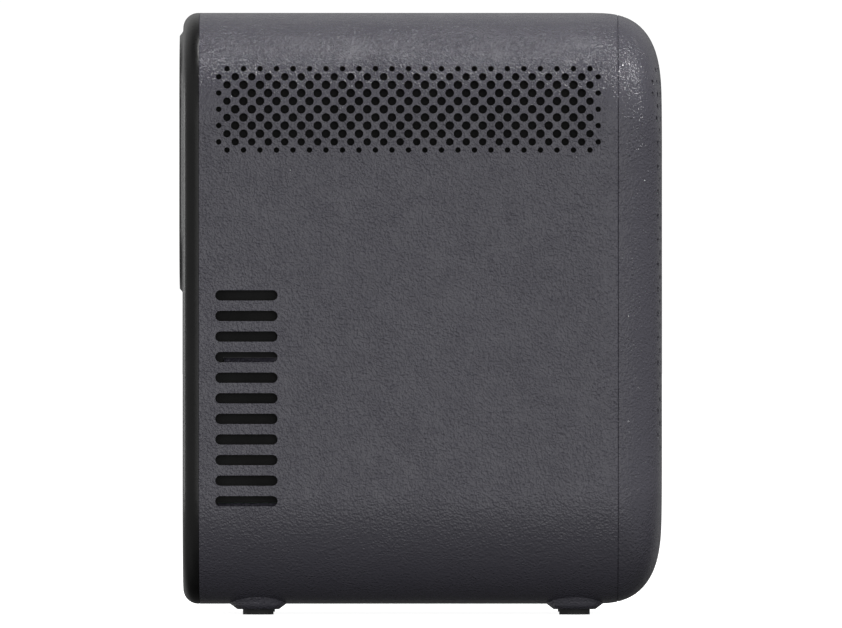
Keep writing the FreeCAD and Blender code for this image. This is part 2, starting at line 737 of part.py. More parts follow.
# ---- keys on the roof ----------------------------------------------------------------------------------------------
def top_key(x):
    """Round key with a rim that stops it under the roof and a stem to its switch."""
    rim_top = ROOF_Z - KEY_GAP
    switch_top = KEY_BOARD_TOP + switch_height()
    cap = rod(KEY_R, Vec(x, KEY_Y, rim_top - KEY_RIM_T), Z, BODY_TOP - KEY_SINK - rim_top + KEY_RIM_T)
    rim = rod(KEY_R + KEY_GAP + KEY_RIM, Vec(x, KEY_Y, rim_top - KEY_RIM_T), Z, KEY_RIM_T)
    stem_z = switch_top + KEY_TRAVEL + SWITCH_GAP
    stem = rod(KEY_STEM_R, Vec(x, KEY_Y, stem_z), Z, rim_top - KEY_RIM_T - stem_z)
    return merge(cap, rim, stem)


def switch_height():
    """Switches fill what is left between the board and the pressed key."""
    return KEY_BOARD_DROP - KEY_GAP - KEY_RIM_T - KEY_TRAVEL - SWITCH_GAP - 0.6


def key_board():
    """Narrow board under the roof that carries one switch below each key."""
    board = box(-KEY_BOARD_W / 2, KEY_BOARD_W / 2, KEY_Y - KEY_BOARD_D / 2, KEY_Y + KEY_BOARD_D / 2,
                KEY_BOARD_TOP - BOARD_T, KEY_BOARD_TOP)
    holes = [rod(SCREW_R + SCREW_FIT, Vec(x, y, KEY_BOARD_TOP - BOARD_T - 1), Z, BOARD_T + 2)
             for x, y in key_board_screws()]
    return board.cut(holes)


def key_switches():
    half = SWITCH_SIZE / 2
    return [box(x - half, x + half, KEY_Y - half, KEY_Y + half, KEY_BOARD_TOP,
                KEY_BOARD_TOP + switch_height()) for _, x in key_places()]


def board_screws():
    """Screws of the key board from below and of the power board from above."""
    below = [screw(Vec(x, y, KEY_BOARD_TOP - BOARD_T), Z, BOARD_T + 4)
             for x, y in key_board_screws()]
    above = [screw(Vec(x, y, POWER_BOARD_Z + BOARD_T), Z * -1, BOARD_T + 5)
             for x, y in power_board_screws()]
    return below + above


# ---- projection lens ------------------------------------------------------------------------------------------------
def axis_place(y):
    return Vec(0, y, AXIS_Z)


def lens_bezel():
    """Flush trim ring with an inner cone that hides the gap to the barrel."""
    rim = BEZEL_R - BEZEL_FIT
    lip_y = FRONT_INNER_Y + BEZEL_LIP_GAP
    throat_y = BARREL_FRONT_Y - 0.3
    points = [(rim, FRONT_Y - 1), (rim, lip_y), (rim + BEZEL_LIP, lip_y),
              (rim + BEZEL_LIP, lip_y + BEZEL_LIP_T), (BARREL_R + 1.4, throat_y),
              (BARREL_R - 0.6, throat_y), (rim - 1.4, FRONT_Y - 1)]
    return moved(revolved(points), 0, 0, AXIS_Z).common(housing_form(0))


def lens_barrel():
    """Fixed tube with the shoulder behind the focus ring and the rear flange."""
    bore = BARREL_R - BARREL_WALL
    inner_end = ENGINE_FRONT_Y + ENGINE_WALL
    shoulder_y = RING_Y + RING_WIDTH + RING_END_FIT
    points = [(bore, BARREL_FRONT_Y), (bore, inner_end), (BARREL_R, inner_end),
              (BARREL_R, ENGINE_FRONT_Y), (BARREL_R + 2.4, ENGINE_FRONT_Y),
              (BARREL_R + 2.4, ENGINE_FRONT_Y - FLANGE_T), (BARREL_R, ENGINE_FRONT_Y - FLANGE_T),
              (BARREL_R, shoulder_y + 2), (RETAINER_R, shoulder_y + 2), (RETAINER_R, shoulder_y),
              (BARREL_R, shoulder_y), (BARREL_R, BARREL_FRONT_Y)]
    return moved(revolved(points), 0, 0, AXIS_Z)


def ring_retainer():
    """Collar that keeps the focus ring on the barrel."""
    y = RING_Y - RING_END_FIT - RETAINER_W
    return tube(RETAINER_R, BARREL_R, axis_place(y), Y, RETAINER_W)


def focus_ring():
    face = gear(FOCUS_MODULE, RING_TEETH, PINION_ANGLE, BARREL_R + RING_FIT)
    return moved(upright(face, RING_WIDTH), 0, RING_Y + RING_WIDTH, AXIS_Z)


def pinion_place():
    reach = FOCUS_MODULE * (RING_TEETH + PINION_TEETH) / 2 + MESH_SPACE
    turn = math.radians(PINION_ANGLE)
    return reach * math.cos(turn), AXIS_Z + reach * math.sin(turn)


def focus_pinion():
    """Motor gear on its shaft."""
    x, z = pinion_place()
    phase = PINION_ANGLE + 180 + 180 / PINION_TEETH
    face = gear(FOCUS_MODULE, PINION_TEETH, phase)
    teeth = moved(upright(face, RING_WIDTH), x, RING_Y + RING_WIDTH, z)
    shaft_y = RING_Y + RING_WIDTH - 1
    shaft = rod(MOTOR_SHAFT_R, Vec(x, shaft_y, z), Y, ENGINE_FRONT_Y - 4 - shaft_y)
    return merge(teeth, shaft)


def focus_motor():
    x, z = pinion_place()
    front = RING_Y + RING_WIDTH + 1.2
    can = rod(MOTOR_R, Vec(x, front, z), Y, ENGINE_FRONT_Y - front)
    bore = rod(MOTOR_SHAFT_R + SHAFT_FIT, Vec(x, front - 1, z), Y, ENGINE_FRONT_Y - 3 - front + 1)
    return can.cut(bore)


def cell_seats():
    """Bore radius and front face of each lens seat, and the bore that follows it."""
    inner = CELL_R - CELL_WALL
    radii = [inner - CELL_STEP * (index + 1) for index in range(4)]
    return [(radii[index], CELL_REST_Y + depth, radii[index + 1])
            for index, depth in enumerate(CELL_SEATS)]


def lens_cell():
    """Sliding tube with a stepped bore, one step for each lens."""
    back_y = CELL_REST_Y + CELL_LENGTH
    seats = cell_seats()
    points = [(CELL_R, CELL_REST_Y), (CELL_R, back_y), (seats[-1][2], back_y)]
    for radius, seat_y, next_radius in reversed(seats):
        points.append((next_radius, seat_y + LENS_EDGE))
        points.append((radius, seat_y + LENS_EDGE))
    points.append((seats[0][0], CELL_REST_Y))
    return moved(revolved(points), 0, 0, AXIS_Z)


def cell_lens(index):
    """Glass lens seated in the cell; its rear face is ground inside the next bore."""
    radius, seat_y, next_radius = cell_seats()[index]
    front_sag, rear_sag = LENS_SAGS[index]
    return lens_solid(radius, seat_y, LENS_EDGE, front_sag, rear_sag, next_radius)


def face_edges(radius, y, sag):
    """Spherical face from its rim to the axis; sag is measured along +Y."""
    rim = Vec(radius, y, 0)
    top = Vec(0, y + sag, 0)
    if sag == 0:
        return [Part.makeLine(rim, top)]
    sphere = (radius * radius + sag * sag) / (2 * abs(sag))
    share = radius * 0.7
    rise = math.sqrt(sphere * sphere - share * share) - (sphere - abs(sag))
    middle = Vec(share, y + math.copysign(rise, sag), 0)
    return [Part.Arc(rim, middle, top).toShape()]


def lens_solid(radius, y, edge, front_sag, rear_sag, rear_radius):
    """Turned lens: sags count outwards, and a negative one is hollow."""
    back_y = y + edge
    rear = face_edges(rear_radius, back_y, rear_sag)
    front = face_edges(radius, y, -front_sag)
    edges = [Part.makeLine(Vec(radius, y, 0), Vec(radius, back_y, 0))]
    if rear_radius < radius:
        edges.append(Part.makeLine(Vec(radius, back_y, 0), Vec(rear_radius, back_y, 0)))
    edges += rear + front
    edges.append(Part.makeLine(Vec(0, back_y + rear_sag, 0), Vec(0, y - front_sag, 0)))
    wire = Part.Wire(Part.__sortEdges__(edges))
    return moved(Part.Face(wire).revolve(Vec(0, 0, 0), Y, 360), 0, 0, AXIS_Z)


# ---- light engine ------------------------------------------------------------------------------------------------------
def engine_tub():
    """Closed case of the light path with a seat for each optical plate."""
    half_w = ENGINE_W / 2
    case = box(-half_w, half_w, ENGINE_FRONT_Y, ENGINE_BACK_Y, ENGINE_Z, ENGINE_Z + ENGINE_H)
    hollow = box(-half_w + ENGINE_WALL, half_w - ENGINE_WALL, ENGINE_FRONT_Y + ENGINE_WALL,
                 ENGINE_BACK_Y - ENGINE_WALL, ENGINE_Z + ENGINE_WALL, ENGINE_Z + ENGINE_H - ENGINE_WALL)
    case = case.cut(hollow)
    seats = [plate_seat(LCD_Y, LCD_T, LCD_W, LCD_H), plate_seat(FRESNEL_Y, FRESNEL_T, FRESNEL_W, FRESNEL_H),
             condenser_seat()]
    case = merge(case, *seats)
    barrel_hole = rod(BARREL_R, axis_place(ENGINE_FRONT_Y - 1), Y, ENGINE_WALL + 1)
    half_hole = LED_HOLE / 2
    led_hole = box(-half_hole, half_hole, ENGINE_BACK_Y - ENGINE_WALL - 1, ENGINE_BACK_Y + 1,
                   AXIS_Z - half_hole, AXIS_Z + half_hole)
    screw_holes = [rod(SCREW_R, Vec(seat.x, ENGINE_BACK_Y - ENGINE_WALL - 1, seat.z), Y, ENGINE_WALL + 2)
                   for seat in sink_screw_places()]
    return case.cut([barrel_hole, led_hole] + screw_holes)


def seat_block(y, thick):
    """Cross wall inside the case, to be cut out round a plate."""
    lap = 0.5
    half_w = ENGINE_W / 2 - lap
    return box(-half_w, half_w, y - SEAT_T, y + thick + SEAT_T, ENGINE_Z + lap, ENGINE_Z + ENGINE_H - lap)


def plate_seat(y, thick, width, height):
    """Grooved frame round a flat optical plate."""
    fit = SEAT_FIT
    groove = box(-width / 2 - fit, width / 2 + fit, y, y + thick,
                 AXIS_Z - height / 2 - fit, AXIS_Z + height / 2 + fit)
    window = box(-width / 2 + SEAT_LAP, width / 2 - SEAT_LAP, y - SEAT_T - 1, y + thick + SEAT_T + 1,
                 AXIS_Z - height / 2 + SEAT_LAP, AXIS_Z + height / 2 - SEAT_LAP)
    return seat_block(y, thick).cut([groove, window])


def condenser_seat():
    groove = rod(CONDENSER_R + SEAT_FIT, axis_place(CONDENSER_Y), Y, CONDENSER_EDGE)
    mouth = rod(CONDENSER_R + SEAT_FIT, axis_place(CONDENSER_Y - SEAT_T - 1), Y, SEAT_T + 1)
    window = rod(CONDENSER_R - SEAT_LAP, axis_place(CONDENSER_Y), Y, CONDENSER_EDGE + SEAT_T + 1)
    return seat_block(CONDENSER_Y, CONDENSER_EDGE).cut([groove, mouth, window])


def engine_halves():
    """The case parts at the optical axis, so that its plates drop in."""
    case = engine_tub()
    reach = BODY_W
    below = box(-reach, reach, -reach, reach, -reach, AXIS_Z)
    return case.common(below), case.cut(below)


def optical_plate(y, thick, width, height):
    return box(-width / 2, width / 2, y, y + thick, AXIS_Z - height / 2, AXIS_Z + height / 2)


def condenser_lens():
    return lens_solid(CONDENSER_R, CONDENSER_Y, CONDENSER_EDGE, CONDENSER_SAG, 0, CONDENSER_R)


def led_module():
    """Copper-backed plate with the light source in its middle."""
    half = LED_PLATE / 2
    chip = LED_CHIP / 2
    plate = box(-half, half, ENGINE_BACK_Y, ENGINE_BACK_Y + LED_T, AXIS_Z - half, AXIS_Z + half)
    die = box(-chip, chip, ENGINE_BACK_Y - LED_CHIP_T, ENGINE_BACK_Y, AXIS_Z - chip, AXIS_Z + chip)
    return merge(plate, die)


def sink_screw_places():
    """Corner screws of the heat sink, where their heads lie on its base."""
    seat = ENGINE_BACK_Y + LED_T + SINK_BASE
    reach = SINK_SIZE / 2 - 5
    return [Vec(x, seat, AXIS_Z + z) for x in (-reach, reach) for z in (-reach, reach)]


def heat_sink():
    """Extruded fins on a thick base, pressed against the light source."""
    half = SINK_SIZE / 2
    front = ENGINE_BACK_Y + LED_T
    sink = box(-half, half, front, front + SINK_BASE, AXIS_Z - half, AXIS_Z + half)
    step = (SINK_SIZE - FIN_T) / (FIN_COUNT - 1)
    fins = []
    for index in range(FIN_COUNT):
        x = -half + step * index
        fins.append(box(x, x + FIN_T, front + SINK_BASE, front + SINK_DEPTH,
                        AXIS_Z - half, AXIS_Z + half))
    sink = merge(sink, *fins)
    cuts = [rod(SCREW_HEAD_R + SCREW_FIT, seat, Y, SINK_DEPTH) for seat in sink_screw_places()]
    cuts += [rod(SCREW_R, seat, Y * -1, SINK_BASE + 1) for seat in sink_screw_places()]
    return sink.cut(cuts)


def sink_screws():
    return [screw(seat, Y * -1, SINK_BASE + LED_T + ENGINE_WALL) for seat in sink_screw_places()]


# ---- exhaust fan ---------------------------------------------------------------------------------------------------------
def fan_corners():
    reach = FAN_SIZE / 2 - FAN_HOLE_INSET
    return [(x, AXIS_Z + z) for x in (-reach, reach) for z in (-reach, reach)]


def fan_frame():
    """Square frame with the motor's seat on four struts at the outlet side."""
    half = FAN_SIZE / 2
    frame = slab(round_wire(half, AXIS_Z - half, AXIS_Z + half, 4.0, FAN_FRONT_Y), FAN_DEPTH)
    frame = frame.cut(rod(FAN_BORE_R, axis_place(FAN_FRONT_Y - 1), Y, FAN_DEPTH + 2))
    seat_y = FAN_BACK_Y - FAN_HUB_T
    struts = [rod(FAN_HUB_R, axis_place(seat_y), Y, FAN_HUB_T)]
    for index in range(4):
        strut = box(0, FAN_BORE_R + 0.5, seat_y, FAN_BACK_Y, -FAN_STRUT_W / 2, FAN_STRUT_W / 2)
        strut.rotate(Vec(0, 0, 0), Y, 45 + 90 * index)
        struts.append(moved(strut, 0, 0, AXIS_Z))
    frame = merge(frame, *struts)
    cuts = [rod(FAN_SHAFT_R + SHAFT_FIT, axis_place(seat_y - 1), Y, FAN_HUB_T)]
    for x, z in fan_corners():
        cuts.append(rod(FAN_HOLE_R, Vec(x, FAN_FRONT_Y - 1, z), Y, FAN_DEPTH + 2))
    return frame.cut(cuts)


def fan_blade():
    """Twisted blade lofted from hub to tip, leading edge towards the inlet."""
    wires = []
    middle = (FAN_FRONT_Y + FAN_BACK_Y - FAN_HUB_T) / 2
    for radius, turn in ((FAN_HUB_R - 1.0, FAN_ROOT_TURN), (FAN_BORE_R - FAN_TIP_GAP, FAN_TIP_TURN)):
        angle = math.radians(turn)
        along = Vec(math.sin(angle), math.cos(angle), 0) * (FAN_BLADE_CHORD / 2)
        across = Vec(math.cos(angle), -math.sin(angle), 0) * (FAN_BLADE_T / 2)
        centre = Vec(0, middle - FAN_RUN_GAP / 2, radius)
        corners = [centre + along + across, centre + along - across,
                   centre - along - across, centre - along + across]
        wires.append(Part.makePolygon(corners + corners[:1]))
    return Part.makeLoft(wires, True, True)


def fan_rotor():
    """Hub cup, blades and shaft in one moulding."""
    front = FAN_FRONT_Y + FAN_RUN_GAP
    back = FAN_BACK_Y - FAN_HUB_T - FAN_RUN_GAP
    hub = rod(FAN_HUB_R, Vec(0, front, 0), Y, back - front)
    hub = hub.cut(tube(FAN_HUB_R - 1.6, FAN_SHAFT_R + 1.5, Vec(0, front + 2, 0), Y, back - front))
    shaft = rod(FAN_SHAFT_R, Vec(0, front + 1, 0), Y, FAN_BACK_Y - FAN_HUB_T / 2 - front - 1.5)
    blades = []
    for index in range(FAN_BLADES):
        blade = fan_blade()
        blade.rotate(Vec(0, 0, 0), Y, 360 * index / FAN_BLADES)
        blades.append(blade)
    rotor = merge(hub, shaft, *blades)
    return moved(rotor, 0, 0, AXIS_Z)


# ---- deck and boards -----------------------------------------------------------------------------------------------------------
def engine_posts():
    across = ENGINE_W / 2 - POST_R
    return [(x, y) for x in (-across, across)
            for y in (ENGINE_FRONT_Y + POST_R, ENGINE_BACK_Y - POST_R)]


def drive_screw_places():
    x = (CAN_X + TRAY_X) / 2 + 0.2
    return [(side * x, y) for side in (-1, 1) for y in (DRIVE_END_Y + 12, DRIVE_MOUTH_Y - 14)]


def middle_deck():
    """Shelf across the housing: the engine stands on it and the drive hangs below."""
    half = SIDE_X - DECK_GAP
    deck = box(-half, half, DECK_FRONT_Y, DECK_BACK_Y, DECK_Z, DECK_Z + DECK_T)
    posts = [rod(POST_R, Vec(x, y, DECK_Z + 1), Z, ENGINE_Z - DECK_Z - 1) for x, y in engine_posts()]
    ribs = [box(-half + 8, half - 8, y, y + 2, DECK_Z + 1, DECK_Z + DECK_T + 5)
            for y in (DECK_FRONT_Y + 2, DECK_RIB_Y, DECK_BACK_Y - 3)]
    deck = merge(deck, *posts, *ribs)
    holes = [rod(SCREW_R * 0.7 + SCREW_FIT, Vec(x, y, DECK_Z - 1), Z, DECK_T + 8)
             for x, y in drive_screw_places()]
    return deck.cut(holes)


def main_board():
    return box(-MAIN_BOARD_W / 2, MAIN_BOARD_W / 2, MAIN_BOARD_FRONT_Y, MAIN_BOARD_BACK_Y,
               MAIN_BOARD_Z, MAIN_BOARD_Z + BOARD_T)


def power_board():
    half = POWER_BOARD_W / 2
    board = box(-half, half, POWER_BOARD_FRONT_Y, POWER_BOARD_BACK_Y,
                POWER_BOARD_Z, POWER_BOARD_Z + BOARD_T)
    holes = [rod(SCREW_R + SCREW_FIT, Vec(x, y, POWER_BOARD_Z - 1), Z, BOARD_T + 2)
             for x, y in power_board_screws()]
    return board.cut(holes)


def processor_sink():
    """Low finned sink on the main board's processor."""
    top = MAIN_BOARD_Z + BOARD_T
    half = CHIP_SINK / 2
    step = (CHIP_SINK - CHIP_FIN_T) / (CHIP_FIN_COUNT - 1)
    starts = [step * index - half for index in range(CHIP_FIN_COUNT)]
    sink = box(-half, half, 0, CHIP_SINK, top, top + CHIP_SINK_BASE)
    fins = [box(x, x + CHIP_FIN_T, 0, CHIP_SINK, top + CHIP_SINK_BASE / 2, top + CHIP_SINK_H)
            for x in starts]
    return merge(sink, *fins)


def transformer():
    """Ferrite core with the winding through it."""
    top = POWER_BOARD_Z + BOARD_T
    middle = (POWER_BOARD_FRONT_Y + POWER_BOARD_BACK_Y) / 2 - 4
    core = box(-CORE_W / 2, CORE_W / 2, middle - CORE_D / 2, middle + CORE_D / 2, top + 1,
               top + 1 + CORE_H)
    winding = box(-WINDING_W / 2, WINDING_W / 2, middle - WINDING_D / 2, middle + WINDING_D / 2,
                  top, top + WINDING_H)
    return merge(core, winding)


def filter_capacitors():
    top = POWER_BOARD_Z + BOARD_T
    near = POWER_BOARD_FRONT_Y + 3 * CAPACITOR_R - 1
    return [rod(CAPACITOR_R, Vec(side * CAPACITOR_X, y, top), Z, CAPACITOR_H)
            for side, y in ((1, near), (1, near + 3 * CAPACITOR_R - 2), (-1, near))]


# ---- sockets ----------------------------------------------------------------------------------------------------------------------
PORT_Z = MAIN_BOARD_Z + BOARD_T
INLET_Z = POWER_BOARD_Z + BOARD_T


def port_block(x, z, width, height, length):
    return box(x - width / 2, x + width / 2, PORT_FACE_Y - length, PORT_FACE_Y, z, z + height)


def hdmi_port():
    """Folded sheet shell with chamfered lower corners and its contact tongue."""
    shell = port_block(HDMI_X, PORT_Z, HDMI_W, HDMI_H, HDMI_LENGTH)
    half = HDMI_W / 2 - PORT_SHELL
    low = PORT_Z + PORT_SHELL
    high = PORT_Z + HDMI_H - PORT_SHELL
    step = 1.6
    start = PORT_FACE_Y - HDMI_LENGTH + 1
    outline = [Vec(HDMI_X + x, start, z) for x, z in
               ((-half, high), (half, high), (half, low + step), (half - step, low),
                (-half + step, low), (-half, low + step))]
    cavity = Part.Face(Part.makePolygon(outline + outline[:1])).extrude(Y * HDMI_LENGTH)
    tongue = box(HDMI_X - half + 1.6, HDMI_X + half - 1.6, start - 0.5, PORT_FACE_Y - 2,
                 low + 1.9, low + 2.9)
    return merge(shell.cut(cavity), tongue)


def usb_port():
    shell = port_block(USB_X, PORT_Z, USB_W, USB_H, USB_LENGTH)
    start = PORT_FACE_Y - USB_LENGTH + 1
    half = USB_W / 2 - PORT_SHELL
    low = PORT_Z + PORT_SHELL
    high = PORT_Z + USB_H - PORT_SHELL
    cavity = box(USB_X - half, USB_X + half, start, PORT_FACE_Y + 1, low, high)
    tongue = box(USB_X - half + 1, USB_X + half - 1, start - 0.5, PORT_FACE_Y - 1.5, high - 2.2, high - 0.4)
    return merge(shell.cut(cavity), tongue)


def jack_axis(x):
    return Vec(x, PORT_FACE_Y, PORT_Z + JACK_BLOCK / 2)


def audio_jack(x):
    """Socket block whose round collar comes through the cover."""
    face = PORT_FACE_Y - JACK_COLLAR_T
    block = box(x - JACK_BLOCK / 2, x + JACK_BLOCK / 2, PORT_FACE_Y - JACK_LENGTH, face,
                PORT_Z, PORT_Z + JACK_BLOCK)
    centre = jack_axis(x)
    collar = rod(JACK_COLLAR_R, centre, Y * -1, JACK_COLLAR_T + 1)
    return merge(block, collar).cut(rod(JACK_BORE_R, centre + Y, Y * -1, JACK_LENGTH))


def inlet_mouth():
    """Figure-eight mouth of the mains inlet, two overlapping circles."""
    centre_z = INLET_Z + INLET_H / 2
    radius = INLET_MOUTH_H / 2
    reach = INLET_MOUTH_W / 2 - radius
    start = PORT_FACE_Y - INLET_MOUTH_DEPTH
    lobes = [rod(radius, Vec(INLET_X + side * reach, start, centre_z), Y, INLET_MOUTH_DEPTH + 1)
             for side in (-1, 1)]
    neck = box(INLET_X - reach, INLET_X + reach, start, PORT_FACE_Y + 1,
               centre_z - radius * 0.86, centre_z + radius * 0.86)
    return merge(neck, *lobes)


def power_inlet():
    block = port_block(INLET_X, INLET_Z, INLET_W, INLET_H, INLET_LENGTH).cut(inlet_mouth())
    start = PORT_FACE_Y - INLET_MOUTH_DEPTH - 1
    pins = [rod(INLET_PIN_R, Vec(INLET_X + side * INLET_PIN_PITCH / 2, start, INLET_Z + INLET_H / 2),
                Y, INLET_PIN_LENGTH + 1) for side in (-1, 1)]
    return merge(block, *pins)


def remote_eye():
    """Dark window of the remote control's receiver."""
    return rod(EYE_R, Vec(EYE_X, REAR_INNER_Y - 2, EYE_Z), Y, WALL + 2)


def port_cuts():
    """Cut-outs in the rear cover, one round each socket."""
    gap = PORT_GAP
    start = REAR_SEAM_Y - 2
    depth = REAR_FACE_Y - start + 1
    cuts = []
    for x, z, width, height in ((HDMI_X, PORT_Z, HDMI_W, HDMI_H), (USB_X, PORT_Z, USB_W, USB_H),
                                (INLET_X, INLET_Z, INLET_W, INLET_H)):
        cuts.append(box(x - width / 2 - gap, x + width / 2 + gap, start, start + depth,
                        z - gap, z + height + gap))
    for x in JACK_X:
        centre = jack_axis(x)
        cuts.append(rod(JACK_COLLAR_R + gap, Vec(x, start, centre.z), Y, depth))
    cuts.append(rod(EYE_R + EYE_FIT, Vec(EYE_X, start, EYE_Z), Y, depth))
    return cuts


# ---- speakers ---------------------------------------------------------------------------------------------------------------------------
def speaker_parts(x):
    """Basket with its magnet, and cone, of one loudspeaker that faces -Y."""
    face = FRONT_INNER_Y
    back = face + SPEAKER_DEPTH
    basket = [(SPEAKER_R, face), (SPEAKER_R, face + SPEAKER_FLANGE_T), (CONE_R + 1.6, face + SPEAKER_FLANGE_T),
              (MAGNET_R, back), (MAGNET_R - 5, back), (MAGNET_R - 5, back - 1.4), (MAGNET_R - 1, back - 1.4),
              (CONE_R, face + SPEAKER_FLANGE_T), (CONE_R, face)]
    lip = face + 0.6
    bottom = lip + CONE_SINK
    cone = [(CONE_R, lip), (CONE_R, lip + CONE_T), (8.0, bottom + CONE_T), (8.0, back - 0.4),
            (7.4, back - 0.4), (7.4, bottom + CONE_T), (0.0, bottom - 2 + CONE_T), (0.0, bottom - 2),
            (7.6, bottom), (CONE_R - 2, lip)]
    magnet = [(0.0, back), (MAGNET_R, back), (MAGNET_R, back + MAGNET_T), (0.0, back + MAGNET_T)]
    basket = merge(revolved(basket), revolved(magnet))
    return moved(basket, x, 0, SPEAKER_Z), moved(revolved(cone), x, 0, SPEAKER_Z)


# ---- disc drive ---------------------------------------------------------------------------------------------------------------------------
def can_vent_rows():
    """Places along Y of the can's vents, two near each end."""
    first = DRIVE_END_Y + CAN_VENT_PITCH
    last = DRIVE_MOUTH_Y - CAN_VENT_PITCH * 0.75
    return first, first + CAN_VENT_PITCH, last - CAN_VENT_PITCH, last


def drive_can():
    """Folded steel pan: floor with vents, two sides and end wall."""
    half = DRIVE_W / 2
    pan = box(-half, half, DRIVE_END_Y, DRIVE_MOUTH_Y, DRIVE_Z0, DRIVE_TOP - SHEET)
    pan = pan.cut(box(-CAN_X, CAN_X, DRIVE_END_Y + SHEET, DRIVE_MOUTH_Y + 1, CAN_FLOOR, DRIVE_TOP + 1))
    half_l = CAN_VENT_L / 2
    half_w = CAN_VENT_W / 2
    cuts = [box(x - half_l, x + half_l, y - half_w, y + half_w, DRIVE_Z0 - 1, CAN_FLOOR + 1)
            for x in (-CAN_VENT_X, CAN_VENT_X) for y in can_vent_rows()]
    return pan.cut(cuts)


def drive_lid():
    """Steel lid with a pressed ring above the disc."""
    half = DRIVE_W / 2
    lid = box(-half, half, DRIVE_END_Y, DRIVE_MOUTH_Y, DRIVE_TOP - SHEET, DRIVE_TOP)
    holes = [rod(SCREW_R * 0.7 + SCREW_FIT, Vec(x, y, DRIVE_TOP - 2), Z, 4)
             for x, y in drive_screw_places()]
    groove = tube(LID_RING_R, LID_RING_R - LID_RING_W, Vec(0, DISC_Y, DRIVE_TOP - SHEET / 2), Z, SHEET)
    return lid.cut(holes + [groove])


def drive_screws():
    """Screws through the deck and lid into nuts pressed in the lid's underside."""
    screws = []
    for x, y in drive_screw_places():
        shank = rod(SCREW_R * 0.7, Vec(x, y, DRIVE_TOP - 3), Z, DECK_T + 3)
        head = rod(SCREW_HEAD_R * 0.8, Vec(x, y, DECK_Z + DECK_T), Z, SCREW_HEAD_H * 0.8)
        nut = rod(1.4, Vec(x, y, DRIVE_TOP - 3), Z, 3 - SHEET)
        screws.append(merge(shank, head, nut))
    return screws


def tray_guides():
    """Plastic channels on the can's side walls that the tray's runners slide in."""
    inner = TRAY_X + GUIDE_FIT
    guide = box(inner, CAN_X, DRIVE_END_Y + SHEET + 1, DRIVE_MOUTH_Y, GUIDE_Z0, GUIDE_Z0 + GUIDE_H)
    groove = box(inner - 1, TRAY_X + RUNNER_W + GUIDE_FIT, DRIVE_END_Y, DRIVE_MOUTH_Y + 1,
                 RUNNER_Z - RUNNER_H / 2 - GUIDE_FIT, RUNNER_Z + RUNNER_H / 2 + GUIDE_FIT)
    mouth = box(inner - 1, inner + 0.8, DRIVE_MOUTH_Y - 3, DRIVE_MOUTH_Y + 1, GUIDE_Z0 - 1,
                GUIDE_Z0 + GUIDE_H + 1)
    feet = box(inner + 0.5, CAN_X, DRIVE_END_Y + SHEET + 1, DRIVE_MOUTH_Y, CAN_FLOOR, GUIDE_Z0)
    return both_sides(merge(guide, feet).cut([groove, mouth]))


def disc_tray():
    """Tray moulding: stepped disc recess, well, pickup window, runners and skirt."""
    back = FASCIA_BACK_Y
    plate = box(-TRAY_X, TRAY_X, TRAY_END_Y, back, TRAY_SKIRT_Z, TRAY_TOP_Z)
    hollow = box(-TRAY_X + TRAY_SKIRT, TRAY_X - TRAY_SKIRT, TRAY_END_Y + TRAY_SKIRT,
                 back - TRAY_SKIRT, TRAY_SKIRT_Z - 1, TRAY_PLATE_Z)
    runners = [box(side * TRAY_X - (RUNNER_W if side < 0 else 0.5), side * TRAY_X + (0.5 if side < 0 else RUNNER_W),
                   TRAY_END_Y + 2, DRIVE_MOUTH_Y - 1, RUNNER_Z - RUNNER_H / 2, RUNNER_Z + RUNNER_H / 2)
               for side in (-1, 1)]
    tray = merge(plate.cut(hollow), *runners)
    centre = Vec(0, DISC_Y, 0)
    recess_r = DISC_R + DISC_FIT
    cuts = [rod(recess_r, centre + Z * RECESS_Z, Z, 9),
            rod(SMALL_DISC_R + DISC_FIT / 2, centre + Z * (RECESS_Z - SMALL_SINK), Z, 9),
            rod(WELL_R, centre + Z * TRAY_SKIRT_Z, Z, 20)]
    cuts += both_sides(box(TRAY_X - 12, TRAY_X + 1, DISC_Y - SCALLOP, DISC_Y + SCALLOP,
                           RECESS_Z, TRAY_TOP_Z + 1))
    far = DISC_Y - SLED_REST - SLED_TRAVEL - TURRET_HALF - 1
    window = box(-WINDOW_W / 2, WINDOW_W / 2, far, DISC_Y, TRAY_PLATE_Z - 1, TRAY_TOP_Z + 1)
    finger = rod(14.0, Vec(0, back - 6, RECESS_Z), Z, 9)
    return tray.cut(cuts + [window, finger])


def mech_reach():
    """Front and back ends of the plate that carries the spindle and pickup."""
    return TRAY_END_Y + TRAY_SKIRT + MECH_GAP, DISC_Y + MECH_FRONT


def rod_lug_places():
    end, _ = mech_reach()
    return end, DISC_Y + 6.0


def rod_height():
    return MECH_TOP + 0.4 + SLED_H / 2


def mech_posts():
    end, front = mech_reach()
    across = MECH_W / 2 - 5
    return [(x, y) for x in (-across, across) for y in (end + 5, front - 5)]


def mech_plate():
    """Steel plate below the tray with the lugs of the guide rods and four posts."""
    end, front = mech_reach()
    plate = box(-MECH_W / 2, MECH_W / 2, end, front, MECH_Z, MECH_TOP)
    adds = []
    height = rod_height() + ROD_R + 0.6
    for y in rod_lug_places():
        for x in (-ROD_SPREAD / 2, ROD_SPREAD / 2):
            adds.append(box(x - 2, x + 2, y, y + ROD_LUG, MECH_TOP - 0.5, height))
    for x, y in mech_posts():
        adds.append(rod(2.5, Vec(x, y, MECH_TOP - 0.5), Z, TRAY_PLATE_Z - MECH_TOP + 0.5))
    adds.append(rod(SPINDLE_R, feed_place() + Z * (MECH_TOP - 0.5), Z,
                    FEED_MOTOR_H + FEED_WIDTH + 1.2))
    plate = merge(plate, *adds)
    cuts = [rod(ROD_R, Vec(x, end - 1, rod_height()), Y, front - end + 2)
            for x in (-ROD_SPREAD / 2, ROD_SPREAD / 2)]
    return plate.cut(cuts)


